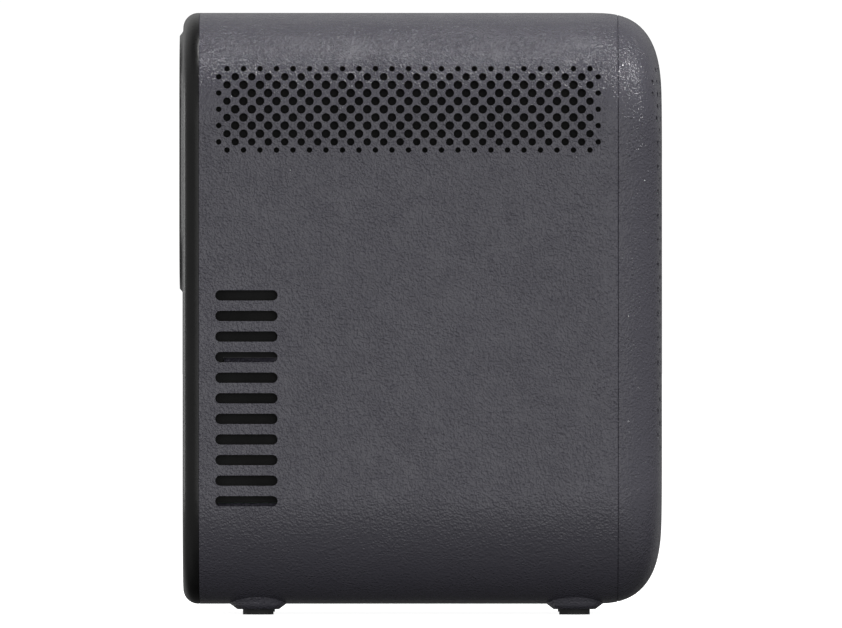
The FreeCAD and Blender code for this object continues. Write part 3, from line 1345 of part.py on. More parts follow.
def guide_rods():
    start, last = rod_lug_places()
    return [rod(ROD_R, Vec(x, start, rod_height()), Y, last + ROD_LUG - start)
            for x in (-ROD_SPREAD / 2, ROD_SPREAD / 2)]


def spindle_stator():
    """Flat motor under the turntable, with the bush of its shaft."""
    start = Vec(0, DISC_Y, MECH_TOP)
    return tube(STATOR_R, SPINDLE_R + SHAFT_FIT, start, Z, STATOR_H)


def turntable():
    """Rotor, disc seat and centring hub, turned in one profile."""
    top = RECESS_Z + TABLE_RISE
    rotor_z = MECH_TOP + STATOR_H + 0.4
    points = [(0, MECH_TOP + 0.4), (SPINDLE_R, MECH_TOP + 0.4), (SPINDLE_R, rotor_z), (ROTOR_R, rotor_z),
              (ROTOR_R, top - TABLE_T), (TABLE_R, top - TABLE_T), (TABLE_R, top), (HUB_R, top),
              (HUB_R, top + HUB_H * 0.6), (HUB_R - 1.2, top + HUB_H), (2.0, top + HUB_H), (0, top + HUB_H - 1)]
    corners = [Vec(radius, 0, z) for radius, z in points]
    solid = Part.Face(Part.makePolygon(corners + corners[:1])).revolve(Vec(0, 0, 0), Z, 360)
    return moved(solid, 0, DISC_Y, 0)


def rack_x():
    """Pitch line of the sled's rack."""
    return SLED_W / 2 + FEED_MODULE * 1.3


def feed_place():
    """Axis of the feed gear, beside the far end of the resting sled."""
    x = rack_x() + FEED_MODULE * FEED_TEETH / 2 + MESH_SPACE / 2
    return Vec(x, DISC_Y - SLED_REST - SLED_HALF_LENGTH - 1, 0)


def feed_level():
    return MECH_TOP + FEED_MOTOR_H + 0.3


def feed_motor():
    """Flat motor under the feed gear."""
    place = feed_place()
    return tube(FEED_MOTOR_R, SPINDLE_R, Vec(place.x, place.y, MECH_TOP), Z, FEED_MOTOR_H)


def feed_gear():
    place = feed_place()
    face = gear(FEED_MODULE, FEED_TEETH, 180, SPINDLE_R + SHAFT_FIT)
    return moved(face.extrude(Z * FEED_WIDTH), place.x, place.y, feed_level())


def sled_rack():
    """Rack teeth towards +X, with a tooth gap at the feed gear."""
    pitch = math.pi * FEED_MODULE
    middle = feed_place().y
    first = -1
    last = int((SLED_TRAVEL + 3) / pitch) + 1
    root_x = rack_x() - FEED_MODULE * 1.1
    tip_x = rack_x() + FEED_MODULE * 0.85
    slope = math.tan(math.radians(20))
    half = (pitch / 2 - BACKLASH) / 2
    root_half = half + slope * (rack_x() - root_x)
    tip_half = half - slope * (tip_x - rack_x())
    back_x = root_x - RACK_BACK
    corners = [Vec(back_x, middle + (first + 0.1) * pitch, 0), Vec(root_x, middle + (first + 0.1) * pitch, 0)]
    for tooth in range(first, last):
        centre = middle + (tooth + 0.5) * pitch
        corners += [Vec(root_x, centre - root_half, 0), Vec(tip_x, centre - tip_half, 0),
                    Vec(tip_x, centre + tip_half, 0), Vec(root_x, centre + root_half, 0)]
    corners += [Vec(root_x, middle + last * pitch, 0), Vec(back_x, middle + last * pitch, 0)]
    face = Part.Face(Part.makePolygon(corners + corners[:1]))
    return moved(face.extrude(Z * FEED_WIDTH), 0, 0, feed_level())


def pickup_sled():
    """Die-cast sled on its two rods, with the rack along one side."""
    middle = DISC_Y - SLED_REST
    low = MECH_TOP + 0.4
    body = box(-SLED_W / 2, SLED_W / 2, middle - SLED_HALF_LENGTH, middle + SLED_HALF_LENGTH, low, low + SLED_H)
    reach = SLED_W / 2 - WAIST_W / 2 + 0.4
    waist = [box(side * reach - WAIST_W / 2, side * reach + WAIST_W / 2, middle - WAIST_L / 2,
                 middle + WAIST_L / 2, low + SLED_H - 0.8, low + SLED_H + 1) for side in (-1, 1)]
    link = box(SLED_W / 2 - 3, rack_x() - FEED_MODULE * 1.1, middle - SLED_HALF_LENGTH,
               middle + SLED_HALF_LENGTH, feed_level(), feed_level() + FEED_WIDTH)
    turret = box(-7, 7, middle - TURRET_HALF, middle + TURRET_HALF, low + SLED_H - 0.5, low + SLED_H + 0.5)
    body = merge(body.cut(waist), link, turret, sled_rack())
    bores = [rod(ROD_R + ROD_FIT, Vec(x, middle - SLED_W, rod_height()), Y, 2 * SLED_W)
             for x in (-ROD_SPREAD / 2, ROD_SPREAD / 2)]
    lens_hole = rod(OBJECTIVE_R, Vec(0, middle, low + 1.6), Z, SLED_H)
    return body.cut(bores + [lens_hole])


def objective_lens():
    """Small domed lens of the pickup."""
    low = MECH_TOP + 0.4
    place = Vec(0, DISC_Y - SLED_REST, low + 1.6)
    barrel = rod(OBJECTIVE_R, place, Z, SLED_H - 1.4)
    dome_r = OBJECTIVE_R * 1.4
    dome = Part.makeSphere(dome_r, place + Z * (SLED_H - 0.9 - dome_r))
    return barrel.common(dome)


def tray_fascia():
    """Front of the tray: rounded plate with the eject key's hole and the lamp's."""
    half_w = FASCIA_W / 2
    half_h = FASCIA_H / 2
    plate = slab(round_wire(half_w, FASCIA_Z - half_h, FASCIA_Z + half_h, FASCIA_R, FASCIA_BACK_Y), FASCIA_T)
    front_edges = [edge for edge in plate.Edges if edge.BoundBox.YMin > REAR_FACE_Y - 0.01]
    plate = plate.makeChamfer(FASCIA_BEVEL, front_edges)
    gap = EJECT_GAP
    z = FASCIA_Z
    opening = box(EJECT_X - EJECT_W / 2 - gap, EJECT_X + EJECT_W / 2 + gap, FASCIA_BACK_Y - 1, REAR_FACE_Y + 1,
                  z - EJECT_H / 2 - gap, z + EJECT_H / 2 + gap)
    rim = EJECT_RIM + 2 * gap
    pocket = box(EJECT_X - EJECT_W / 2 - rim, EJECT_X + EJECT_W / 2 + rim, FASCIA_BACK_Y - 1,
                 FASCIA_BACK_Y + eject_rim_depth() + 0.1, z - EJECT_H / 2 - rim, z + EJECT_H / 2 + rim)
    lamp = rod(LAMP_R, Vec(LAMP_X, FASCIA_BACK_Y - 1, z), Y, FASCIA_T + 2)
    pinhole = rod(0.6, Vec(LAMP_X - 7, FASCIA_BACK_Y - 1, z), Y, FASCIA_T + 2)
    return plate.cut([opening, pocket, lamp, pinhole])


def eject_rim_depth():
    """Depth of the pocket that holds the key's rim, its travel included."""
    return 0.9 + EJECT_TRAVEL + 0.2


def eject_key():
    rim_back = FASCIA_BACK_Y + EJECT_TRAVEL + 0.2
    rim_front = FASCIA_BACK_Y + eject_rim_depth()
    z = FASCIA_Z
    half_w = EJECT_W / 2
    half_h = EJECT_H / 2
    stem = box(EJECT_X - half_w, EJECT_X + half_w, rim_back, REAR_FACE_Y + 0.3, z - half_h, z + half_h)
    rim = box(EJECT_X - half_w - EJECT_RIM, EJECT_X + half_w + EJECT_RIM, rim_back, rim_front,
              z - half_h - EJECT_RIM, z + half_h + EJECT_RIM)
    return merge(stem, rim)


# ---- all pieces -----------------------------------------------------------------------------------------------------------------------------------
def main():
    os.makedirs("parts", exist_ok=True)
    export("housing_sleeve", housing_sleeve())
    export("front_shell", front_shell())
    export("rear_cover", rear_cover())
    export("cover_screws", *cover_screws())
    export("vent_screens", *vent_screens())
    export("foot_pads", *foot_pads())
    export("tripod_insert", tripod_insert())
    for name, x in key_places():
        export(name, top_key(x))
    export("key_board", merge(key_board(), *key_switches()))
    export("lens_bezel", lens_bezel())
    export("lens_barrel", lens_barrel())
    export("ring_retainer", ring_retainer())
    export("focus_ring", focus_ring())
    export("focus_pinion", focus_pinion())
    export("focus_motor", focus_motor())
    export("lens_cell", lens_cell())
    export("front_lens", cell_lens(0))
    export("middle_lens", cell_lens(1))
    export("rear_lens", cell_lens(2))
    base, lid = engine_halves()
    export("engine_base", base)
    export("engine_lid", lid)
    export("lcd_panel", optical_plate(LCD_Y, LCD_T, LCD_W, LCD_H))
    export("fresnel_lens", optical_plate(FRESNEL_Y, FRESNEL_T, FRESNEL_W, FRESNEL_H))
    export("condenser_lens", condenser_lens())
    export("led_module", led_module())
    export("heat_sink", heat_sink())
    export("fan_frame", fan_frame())
    export("fan_rotor", fan_rotor())
    export("middle_deck", middle_deck())
    export("main_board", main_board())
    export("power_board", power_board())
    export("board_components", processor_sink(), transformer(), *filter_capacitors())
    export("hdmi_port", hdmi_port())
    export("usb_port", usb_port())
    export("audio_jacks", *[audio_jack(x) for x in JACK_X])
    export("power_inlet", power_inlet())
    export("remote_eye", remote_eye())
    for side, x in (("left", SPEAKER_X), ("right", -SPEAKER_X)):
        for part, solid in zip(("speaker_basket_", "speaker_cone_"), speaker_parts(x)):
            export(part + side, solid)
    export("drive_can", drive_can())
    export("drive_lid", drive_lid())
    export("inner_screws", *board_screws(), *sink_screws(), *drive_screws())
    export("tray_guides", *tray_guides())
    export("disc_tray", disc_tray())
    export("tray_fascia", tray_fascia())
    export("eject_key", eject_key())
    export("mech_plate", mech_plate())
    export("guide_rods", *guide_rods())
    export("spindle_stator", spindle_stator())
    export("turntable", turntable())
    export("feed_motor", feed_motor())
    export("feed_gear", feed_gear())
    export("pickup_sled", pickup_sled())
    export("objective_lens", objective_lens())


main()
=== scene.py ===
"""Upright LED projector with a built-in disc player: finishes, lights and camera.

Metres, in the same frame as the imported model: +Z up, the lens looks along -Y,
the disc tray opens along +Y.  Sizes below are written in millimetres times MM.
"""

import json
import math

import bmesh
import bpy
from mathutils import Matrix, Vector


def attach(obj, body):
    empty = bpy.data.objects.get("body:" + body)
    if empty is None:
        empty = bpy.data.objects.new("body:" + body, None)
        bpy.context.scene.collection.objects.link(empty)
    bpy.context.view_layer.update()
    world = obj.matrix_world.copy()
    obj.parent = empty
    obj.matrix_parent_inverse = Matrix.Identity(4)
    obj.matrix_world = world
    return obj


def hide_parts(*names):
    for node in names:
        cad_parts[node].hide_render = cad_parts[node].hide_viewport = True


MM = 0.001

# ---- housing -----------------------------------------------------------------
BODY_W = 166.0 * MM
BODY_Z0 = 3.75 * MM
BODY_TOP = 215.0 * MM
CORNER_R = 40.0 * MM
FRONT_Y = -86.15 * MM
FRONT_SEAM_Y = -70.4 * MM
REAR_SEAM_Y = 79.05 * MM
FRONT_BLEND = 25.0 * MM
FRONT_DROP = 33.0 * MM
FRONT_PINCH = 24.0 * MM
FRONT_POWER = 2.8
CORNER_SHRINK = 0.8
CORNER_STEPS = 24
SEAM_DEPTH = 0.35 * MM    # of the V groove along a seam
SEAM_HALF = 0.45 * MM     # half the groove's width
SEAM_PROUD = 0.6 * MM     # how far its cutter stands off the housing
SKIN_NEAR = 0.12 * MM     # faces this near the housing's form take its normals
SKIN_ALIGNED = 0.93       # if they also face its way, as a cosine
SHARP_ANGLE = 30.0        # degrees
FLAT_BAND = 0.02 * MM     # this near the front plane the form faces straight ahead
WELD = 2e-7               # metres; points nearer than this become one
AXIS_Z = 161.7 * MM       # height of the lens

# ---- vent field in the sides ----------------------------------------------------
VENT_SIZES = {"Columns": 23, "Rows": 11, "Pitch": 5.875 * MM, "Row Pitch": 2.9 * MM,
              "Radius": 1.56 * MM, "Inner Edge Radius": 1.36 * MM, "Edge Radius": 1.0 * MM,
              "Middle": 4.3 * MM, "Top": 194.75 * MM, "Reach": 200 * MM}
VENT_SIDES = 20

# ---- fine perforations in the front ----------------------------------------------
FINE_TOP = 207.35 * MM
FINE_MIDDLE = 124.5 * MM
FINE_SIZES = {"Columns": 28, "Rows": 36, "Pitch": 5.1 * MM, "Row Pitch": 4.348 * MM,
              "Radius": 1.0 * MM, "Middle": -88.0 * MM, "Top": FINE_TOP, "Reach": 24 * MM,
              "Field Width": 145 * MM, "Field Height": 144 * MM, "Field Corner": 16 * MM,
              "Field Drop": FINE_TOP - FINE_MIDDLE,
              "Lens Drop": FINE_TOP - AXIS_Z, "Lens Radius": 31.0 * MM}
FINE_SIDES = 10

# ---- painted shade: dark blocks beside the drive, put where only shade shows through the vents; from and to in millimetres ---
SHADE_BLOCK_X = (65.1, 70.0)
SHADE_BLOCK_Y = (66.0, 72.0)
SHADE_BLOCK_Z = (76.0, 91.0)

# ---- camera, with places in its frame counted in pixels -----------------------------
FRAME_W = 842
FRAME_H = 628
BODY_MIDDLE = 420.55      # column of the body's middle
GROUND_ROW = 614.3        # row of the floor under the body
PIXEL = 0.3575 * MM       # size of one pixel at the plane of the outline
PLANE_X = 42.0 * MM       # that plane, towards the camera
LENS = 1000.0             # millimetres, so that the view is nearly parallel
SENSOR = 30.0

# ---- light: stops of (place, brightness), and lamps of (name, place, size, power) -----
SKY = ((0.0, 0.17), (0.12, 0.54), (0.28, 0.72), (0.42, 0.80),      # from straight down
       (0.6, 0.95), (0.85, 0.95), (0.95, 0.36), (1.0, 0.2))        # to straight up
FAR_SIDE = ((0.955, 1.0), (0.985, 0.6), (0.997, 0.15), (1.0, 0.1))   # towards +X
SHADE_LOW = 2.4           # how fast the far room darkens downwards
SHADE_FRONT = 1.2         # and towards the front
SHADE_MOST = 0.9
ROOM_STRENGTH = 0.72
BACKDROP_STRENGTH = 1.05
FLOOR_HALF = 40.0
FLOOR_GLOW = 0.95
AIM = (0, 0, 0.11)
LAMPS = (("key", (-3.4, -0.55, 0.2), 3.2, 28),
         ("overhead_far", (-0.08, 0.0, 1.7), 0.08, 3.4),
         ("overhead", (-0.28, 0.0, 1.7), 0.08, 3.0),
         ("overhead_near", (-0.50, 0.0, 1.65), 0.08, 3.6),
         ("front_top", (-0.39, -1.06, 1.28), 0.10, 15.0),
         ("rear", (0.85, 1.5, 0.25), 0.6, 3.2))

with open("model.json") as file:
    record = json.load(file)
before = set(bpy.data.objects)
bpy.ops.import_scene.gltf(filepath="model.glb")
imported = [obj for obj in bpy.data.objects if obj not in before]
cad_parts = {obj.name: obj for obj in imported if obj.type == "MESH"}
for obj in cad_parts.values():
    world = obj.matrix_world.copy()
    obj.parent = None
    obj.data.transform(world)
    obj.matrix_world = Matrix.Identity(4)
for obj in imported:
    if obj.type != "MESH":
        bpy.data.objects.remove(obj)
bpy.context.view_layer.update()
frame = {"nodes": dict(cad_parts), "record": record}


# ---- node graphs -----------------------------------------------------------------
class Wire:
    """A node socket; arithmetic on it adds Math nodes to its graph."""

    def __init__(self, graph, socket):
        self.graph = graph
        self.socket = socket

    def __add__(self, other):
        return self.graph.math("ADD", self, other)

    def __radd__(self, other):
        return self.graph.math("ADD", other, self)

    def __sub__(self, other):
        return self.graph.math("SUBTRACT", self, other)

    def __rsub__(self, other):
        return self.graph.math("SUBTRACT", other, self)

    def __mul__(self, other):
        return self.graph.math("MULTIPLY", self, other)

    def __truediv__(self, other):
        return self.graph.math("DIVIDE", self, other)

    def __mod__(self, other):
        return self.graph.math("MODULO", self, other)

    def __pow__(self, other):
        return self.graph.math("POWER", self, other)

    def __lt__(self, other):
        return self.graph.math("LESS_THAN", self, other)

    def __gt__(self, other):
        return self.graph.math("GREATER_THAN", self, other)


class Graph:
    """Adds nodes to a tree; values and wires go in by the input's name or number."""

    def __init__(self, tree):
        self.tree = tree

    def add(self, kind, inputs=None, out=0, **settings):
        node = self.tree.nodes.new(kind)
        for name, value in settings.items():
            if name == "stops":
                self.set_stops(node.color_ramp, value)
            else:
                setattr(node, name, value)
        for name, value in (inputs or {}).items():
            self.feed(node.inputs[name], value)
        return Wire(self, node.outputs[out])

    def feed(self, socket, value):
        if isinstance(value, Wire):
            self.tree.links.new(value.socket, socket)
        else:
            socket.default_value = value

    def set_stops(self, ramp, stops):
        while len(ramp.elements) < len(stops):
            ramp.elements.new(0.5)
        for element, (place, value) in zip(ramp.elements, stops):
            element.position = place
            element.color = (value, value, value, 1.0)

    def math(self, operation, *values):
        return self.add("ShaderNodeMath", dict(enumerate(values)), operation=operation)

    def mix(self, factor, first, second):
        """Blend of two colours."""
        node_inputs = {"Factor": factor, 6: first, 7: second}
        return self.add("ShaderNodeMix", node_inputs, out=2, data_type="RGBA")

    def ramp(self, value, *stops):
        return self.add("ShaderNodeValToRGB", {"Fac": value}, stops=stops)


# ---- shapes the covers share -------------------------------------------------------
def section_at(y, inset=0.0):
    """Half width, low, high and corner radius of the housing's section at y."""
    start = FRONT_Y + FRONT_BLEND
    ahead = min(max(start - y, 0.0) / (FRONT_BLEND - inset), 1.0)
    inward = 1 - (1 - ahead ** FRONT_POWER) ** (1 / FRONT_POWER)
    pinch = FRONT_PINCH * inward
    drop = FRONT_DROP * inward
    return (BODY_W / 2 - inset - pinch, BODY_Z0 + inset + drop, BODY_TOP - inset - drop,
            CORNER_R - inset - pinch * CORNER_SHRINK)


def outside(point):
    """How far a point lies outside the housing's section at its own y."""
    half_w, low, high, radius = section_at(point.y)
    across = abs(point.x) - (half_w - radius)
    up = abs(point.z - (low + high) / 2) - ((high - low) / 2 - radius)
    corner = math.hypot(max(across, 0.0), max(up, 0.0))
    return corner + min(max(across, up), 0.0) - radius


def form_normal(point):
    """Outward direction of the housing's surface near a point."""
    if point.y < FRONT_Y + FLAT_BAND:
        return Vector((0, -1, 0))
    step = 0.01 * MM
    slopes = []
    for axis in (Vector((step, 0, 0)), Vector((0, step, 0)), Vector((0, 0, step))):
        slopes.append((outside(point + axis) - outside(point - axis)) / (2 * step))
    return Vector(slopes).normalized()


def section_loop(y, grow):
    """Points round the housing's section at y, grown outwards by a margin."""
    half_w, low, high, radius = section_at(y)
    points = []
    corners = ((1, 1, 0), (-1, 1, 90), (-1, -1, 180), (1, -1, 270))
    for side, end, start in corners:
        x = side * (half_w - radius)
        z = high - radius if end > 0 else low + radius
        for step in range(CORNER_STEPS + 1):
            angle = math.radians(start + 90 * step / CORNER_STEPS)
            reach = radius + grow
            points.append((x + reach * math.cos(angle), y, z + reach * math.sin(angle)))
    return points


def put(name, data):
    """New object in the scene, with its mesh, light or camera."""
    obj = bpy.data.objects.new(name, data)
    bpy.context.scene.collection.objects.link(obj)
    return obj


def mesh_of(name, points, faces):
    mesh = bpy.data.meshes.new(name)
    mesh.from_pydata([tuple(point) for point in points], [], faces)
    tidy = bmesh.new()
    tidy.from_mesh(mesh)
    bmesh.ops.remove_doubles(tidy, verts=tidy.verts, dist=WELD)
    bmesh.ops.recalc_face_normals(tidy, faces=tidy.faces)
    tidy.to_mesh(mesh)
    tidy.free()
    return mesh


def seam_cutter(y):
    """Ring of triangular section that cuts a fine V along a seam."""
    loops = [section_loop(y - SEAM_HALF, SEAM_PROUD), section_loop(y + SEAM_HALF, SEAM_PROUD),
             section_loop(y, -SEAM_DEPTH)]
    count = len(loops[0])
    points = [point for loop in loops for point in loop]
    faces = []
    for side in range(3):
        first = side * count
        second = (side + 1) % 3 * count
        for index in range(count):
            after = (index + 1) % count
            faces.append((first + index, first + after, second + after, second + index))
    return put("seam_cutter", mesh_of("seam_cutter", points, faces))


def merged_copy(node, name):
    """Copy of a solid's mesh with its loose triangles joined."""
    mesh = frame["nodes"][node].data.copy()
    mesh.materials.clear()
    tidy = bmesh.new()
    tidy.from_mesh(mesh)
    bmesh.ops.remove_doubles(tidy, verts=tidy.verts, dist=WELD)
    tidy.to_mesh(mesh)
    tidy.free()
    return put(name, mesh)


# ---- Geometry Nodes ---------------------------------------------------------------------
ALONG_X = (0, math.pi / 2, 0)      # turn that lays a drill along X


def new_tree(name, sizes):
    """Geometry tree with a named input for each size; gives its graph and inputs."""
    tree = bpy.data.node_groups.new(name, "GeometryNodeTree")
    tree.interface.new_socket("Geometry", in_out="INPUT", socket_type="NodeSocketGeometry")
    for label, value in sizes.items():
        kind = "NodeSocketInt" if isinstance(value, int) else "NodeSocketFloat"
        if isinstance(value, bpy.types.Material):
            kind = "NodeSocketMaterial"
        if isinstance(value, bpy.types.Object):
            kind = "NodeSocketObject"
        tree.interface.new_socket(label, in_out="INPUT", socket_type=kind)
    tree.interface.new_socket("Geometry", in_out="OUTPUT", socket_type="NodeSocketGeometry")
    graph = Graph(tree)
    start = tree.nodes.new("NodeGroupInput")
    given = {socket.name: Wire(graph, socket) for socket in start.outputs if socket.name}
    return graph, given


def close_tree(graph, geometry, material):
    """Ends a geometry tree in Realize Instances and Set Material."""
    real = graph.add("GeometryNodeRealizeInstances", {0: geometry})
    painted = graph.add("GeometryNodeSetMaterial", {0: real, "Material": material})
    end = graph.tree.nodes.new("NodeGroupOutput")
    graph.tree.links.new(painted.socket, end.inputs[0])
    return graph.tree


def run_tree(obj, tree, sizes):
    """Runs a tree on an object with these sizes and keeps the result as its mesh."""
    modifier = obj.modifiers.new(tree.name, "NODES")
    modifier.node_group = tree
    for item in tree.interface.items_tree:
        if item.in_out == "INPUT" and item.name in sizes:
            modifier[item.identifier] = sizes[item.name]
    evaluated = obj.evaluated_get(bpy.context.evaluated_depsgraph_get())
    mesh = bpy.data.meshes.new_from_object(evaluated)
    obj.modifiers.clear()
    obj.data = mesh


def staggered_points(graph, given):
    """Points of a staggered field facing +X: every second row has one hole more."""
    wide = given["Columns"] + 1
    count = wide * given["Rows"]
    index = graph.add("GeometryNodeInputIndex")
    row = graph.math("FLOOR", (index + 0.5) / wide)
    column = index - row * wide
    odd = row % 2
    along = (column - (given["Columns"] - 1) / 2 - odd / 2) * given["Pitch"]
    up = row * given["Row Pitch"] * -1
    place = graph.add("ShaderNodeCombineXYZ", {"Y": along, "Z": up})
    points = graph.add("GeometryNodePoints", {"Count": count, "Position": place})
    spare = (column > given["Columns"] - 0.5) * (1 - odd)
    return points, spare, row, column, odd


def cut(graph, body, cutter):
    """Body minus cutter."""
    cutter = graph.add("GeometryNodeRealizeInstances", {0: cutter})
    return graph.add("GeometryNodeMeshBoolean", {"Mesh 1": body, "Mesh 2": cutter},
                     operation="DIFFERENCE", solver="MANIFOLD")


def drill_of(graph, sides, radius, reach):
    return graph.add("GeometryNodeMeshCylinder", {"Vertices": sides, "Radius": radius,
                                                  "Depth": reach}, fill_type="NGON")


def vented_wall(sizes):
    """Cuts the vent field through both side walls, with smaller holes round its rim."""
    graph, given = new_tree("vented_wall", sizes)
    points, spare, row, column, odd = staggered_points(graph, given)
    from_row = graph.math("MINIMUM", row, given["Rows"] - 1 - row)
    from_end = graph.math("MINIMUM", column, given["Columns"] - 1 + odd - column)
    outer = (from_row < 0.5) + (from_end < 0.5) * odd
    inner = (from_row < 1.5) + (from_end < 0.5)
    radius = given["Radius"]
    radius = radius - (radius - given["Inner Edge Radius"]) * graph.math("MINIMUM", inner, 1)
    taper = given["Inner Edge Radius"] - given["Edge Radius"]
    radius = radius - taper * graph.math("MINIMUM", outer, 1)
    drill = drill_of(graph, VENT_SIDES, 1.0, given["Reach"])
    size = graph.add("ShaderNodeCombineXYZ", {"X": radius, "Y": radius, "Z": 1.0})
    drills = graph.add("GeometryNodeInstanceOnPoints", {
        0: points, "Selection": spare < 0.5, "Instance": drill, "Scale": size,
        "Rotation": ALONG_X})
    place = graph.add("ShaderNodeCombineXYZ", {"Y": given["Middle"], "Z": given["Top"]})
    drills = graph.add("GeometryNodeTransform", {0: drills, "Translation": place})
    return close_tree(graph, cut(graph, given["Geometry"], drills), given["Material"])


def perforated_front(sizes):
    """Cuts a staggered field of fine holes along Y, clear of the lens and the field's rim."""
    graph, given = new_tree("perforated_front", sizes)
    points, spare, *_ = staggered_points(graph, given)
    where = graph.add("GeometryNodeInputPosition")
    along = graph.add("ShaderNodeSeparateXYZ", {0: where}, out=1)
    up = graph.add("ShaderNodeSeparateXYZ", {0: where}, out=2)
    from_lens = graph.math("SQRT", along ** 2 + (up + given["Lens Drop"]) ** 2)
    unwanted = (from_lens < given["Lens Radius"]) + spare
    reach = given["Field Width"] / 2 - given["Field Corner"]
    rise = given["Field Height"] / 2 - given["Field Corner"]
    past = graph.math("MAXIMUM", graph.math("ABSOLUTE", along) - reach, 0)
    above = graph.math("MAXIMUM", graph.math("ABSOLUTE", up + given["Field Drop"]) - rise, 0)
    rim = graph.math("SQRT", past ** 2 + above ** 2)
    unwanted = unwanted + (rim > given["Field Corner"])
    drill = drill_of(graph, FINE_SIDES, given["Radius"], given["Reach"])
    drills = graph.add("GeometryNodeInstanceOnPoints", {
        0: points, "Selection": unwanted < 0.5, "Instance": drill, "Rotation": ALONG_X})
    place = graph.add("ShaderNodeCombineXYZ", {"Y": given["Middle"], "Z": given["Top"]})
    turned = graph.add("GeometryNodeTransform", {0: drills, "Rotation": (0, 0, math.pi / 2)})
    drills = graph.add("GeometryNodeTransform", {0: turned, "Translation": place})
    return close_tree(graph, cut(graph, given["Geometry"], drills), given["Material"])


def grooved(sizes):
    """Cuts one solid object out of another."""
    graph, given = new_tree("grooved", sizes)
    cutter = graph.add("GeometryNodeObjectInfo", {"Object": given["Cutter"]}, out="Geometry")
    return close_tree(graph, cut(graph, given["Geometry"], cutter), given["Material"])


# ---- finishes ------------------------------------------------------------------------
GLOSS_SPREAD = 0.16       # how far the roughness of a moulded finish varies


def new_material(name):
    material = bpy.data.materials.new(name)
    material.use_nodes = True
    material.node_tree.nodes.clear()
    graph = Graph(material.node_tree)
    place = graph.add("ShaderNodeTexCoord", out="Object")
    return material, graph, place


def close_material(graph, shader):
    end = graph.tree.nodes.new("ShaderNodeOutputMaterial")
    graph.tree.links.new(shader.socket, end.inputs["Surface"])


def shade(value):
    """Grey or (red, green, blue) as a colour socket takes it."""
    if isinstance(value, (int, float)):
        return (value, value, value, 1.0)
    return (*value, 1.0)


def noise(graph, place, scale, detail):
    return graph.add("ShaderNodeTexNoise", {"Vector": place, "Scale": scale, "Detail": detail})


def bumped(graph, height, distance):
    return graph.add("ShaderNodeBump", {"Height": height, "Distance": distance, "Strength": 1.0})


def moulded(name, colour, second, roughness, grain=0.8, depth=0.03, metallic=0.0, coat=0.0,
            specular=0.5):
    """Mottled colour, uneven gloss and a fine grain whose size and depth are in millimetres."""
    material, graph, place = new_material(name)
    cloud = noise(graph, place, 60.0, 3.0)
    fine = noise(graph, place, 1000.0 / grain, 2.0)
    mottled = graph.mix(graph.ramp(cloud, (0.35, 0.0), (0.65, 1.0)), shade(colour), shade(second))
    rough = roughness + (fine - 0.5) * GLOSS_SPREAD
    shader = graph.add("ShaderNodeBsdfPrincipled", {
        "Base Color": mottled, "Roughness": rough, "Metallic": metallic, "Coat Weight": coat,
        "Specular IOR Level": specular, "Normal": bumped(graph, fine, depth * MM)})
    close_material(graph, shader)
    return material


def spark_grain(name, colour, second, roughness, depth):
    """Spark-eroded texture: sharp little flecks under a millimetre apart, stronger in patches."""
    material, graph, place = new_material(name)
    flecks = noise(graph, place, 1600.0, 1.0)
    pebbles = graph.add("ShaderNodeTexVoronoi", {"Vector": place, "Scale": 1000.0}, out="Distance")
    broad = noise(graph, place, 900.0, 1.0)
    patches = noise(graph, place, 95.0, 2.0)
    cloud = noise(graph, place, 14.0, 2.0)
    height = (flecks * 0.6 + pebbles * 0.4 + broad * 0.05) * (0.5 + patches)
    tone = graph.ramp(flecks * 0.5 + broad * 0.25 + cloud * 0.25, (0.35, 0.0), (0.65, 1.0))
    mottled = graph.mix(tone, shade(colour), shade(second))
    rough = roughness + (broad - 0.5) * 0.14 + (cloud - 0.5) * 0.08
    shader = graph.add("ShaderNodeBsdfPrincipled", {
        "Base Color": mottled, "Roughness": rough, "Specular IOR Level": 0.5,
        "Normal": bumped(graph, height, depth * MM)})
    close_material(graph, shader)
    return material


def brushed(name, colour, roughness, direction=(1, 12, 12)):
    """Metal with fine drawn lines; direction holds the noise's scale along each axis."""
    material, graph, place = new_material(name)
    stretch = graph.add("ShaderNodeMapping", {"Vector": place, "Scale": direction})
    lines = noise(graph, stretch, 240.0, 3.0)
    cloud = noise(graph, place, 40.0, 2.0)
    tone = graph.mix(cloud, shade([value * 0.85 for value in colour]), shade(colour))
    shader = graph.add("ShaderNodeBsdfPrincipled", {
        "Base Color": tone, "Metallic": 1.0, "Roughness": roughness + (lines - 0.5) * 0.2,
        "Normal": bumped(graph, lines, 0.01 * MM)})
    close_material(graph, shader)
    return material


def laminate(name, mask_colour, copper_colour):
    """Circuit board: solder mask over straight copper tracks."""
    material, graph, place = new_material(name)
    bricks = graph.add("ShaderNodeTexBrick", {"Vector": place, "Scale": 220.0, "Mortar Size": 0.06,
                                              "Mortar Smooth": 0.2, "Brick Width": 1.4,
                                              "Row Height": 0.5}, out="Fac")
    cloud = noise(graph, place, 90.0, 2.0)
    tracks = bricks * graph.ramp(cloud, (0.45, 0.0), (0.55, 1.0))
    tone = graph.mix(tracks, shade(mask_colour), shade(copper_colour))
    shader = graph.add("ShaderNodeBsdfPrincipled", {
        "Base Color": tone, "Roughness": 0.35 + cloud * 0.1,
        "Normal": bumped(graph, tracks, 0.02 * MM)})
    close_material(graph, shader)
    return material


def glass(name, tint, roughness=0.02, ior=1.52):
    """Coated lens glass with a faint unevenness."""
    material, graph, place = new_material(name)
    cloud = noise(graph, place, 30.0, 2.0)
    tone = graph.mix(cloud, shade(tint), shade([min(value * 1.06, 1.0) for value in tint]))
    shader = graph.add("ShaderNodeBsdfPrincipled", {
        "Base Color": tone, "Roughness": roughness + cloud * 0.02, "IOR": ior,
        "Transmission Weight": 1.0})
    close_material(graph, shader)
    return material


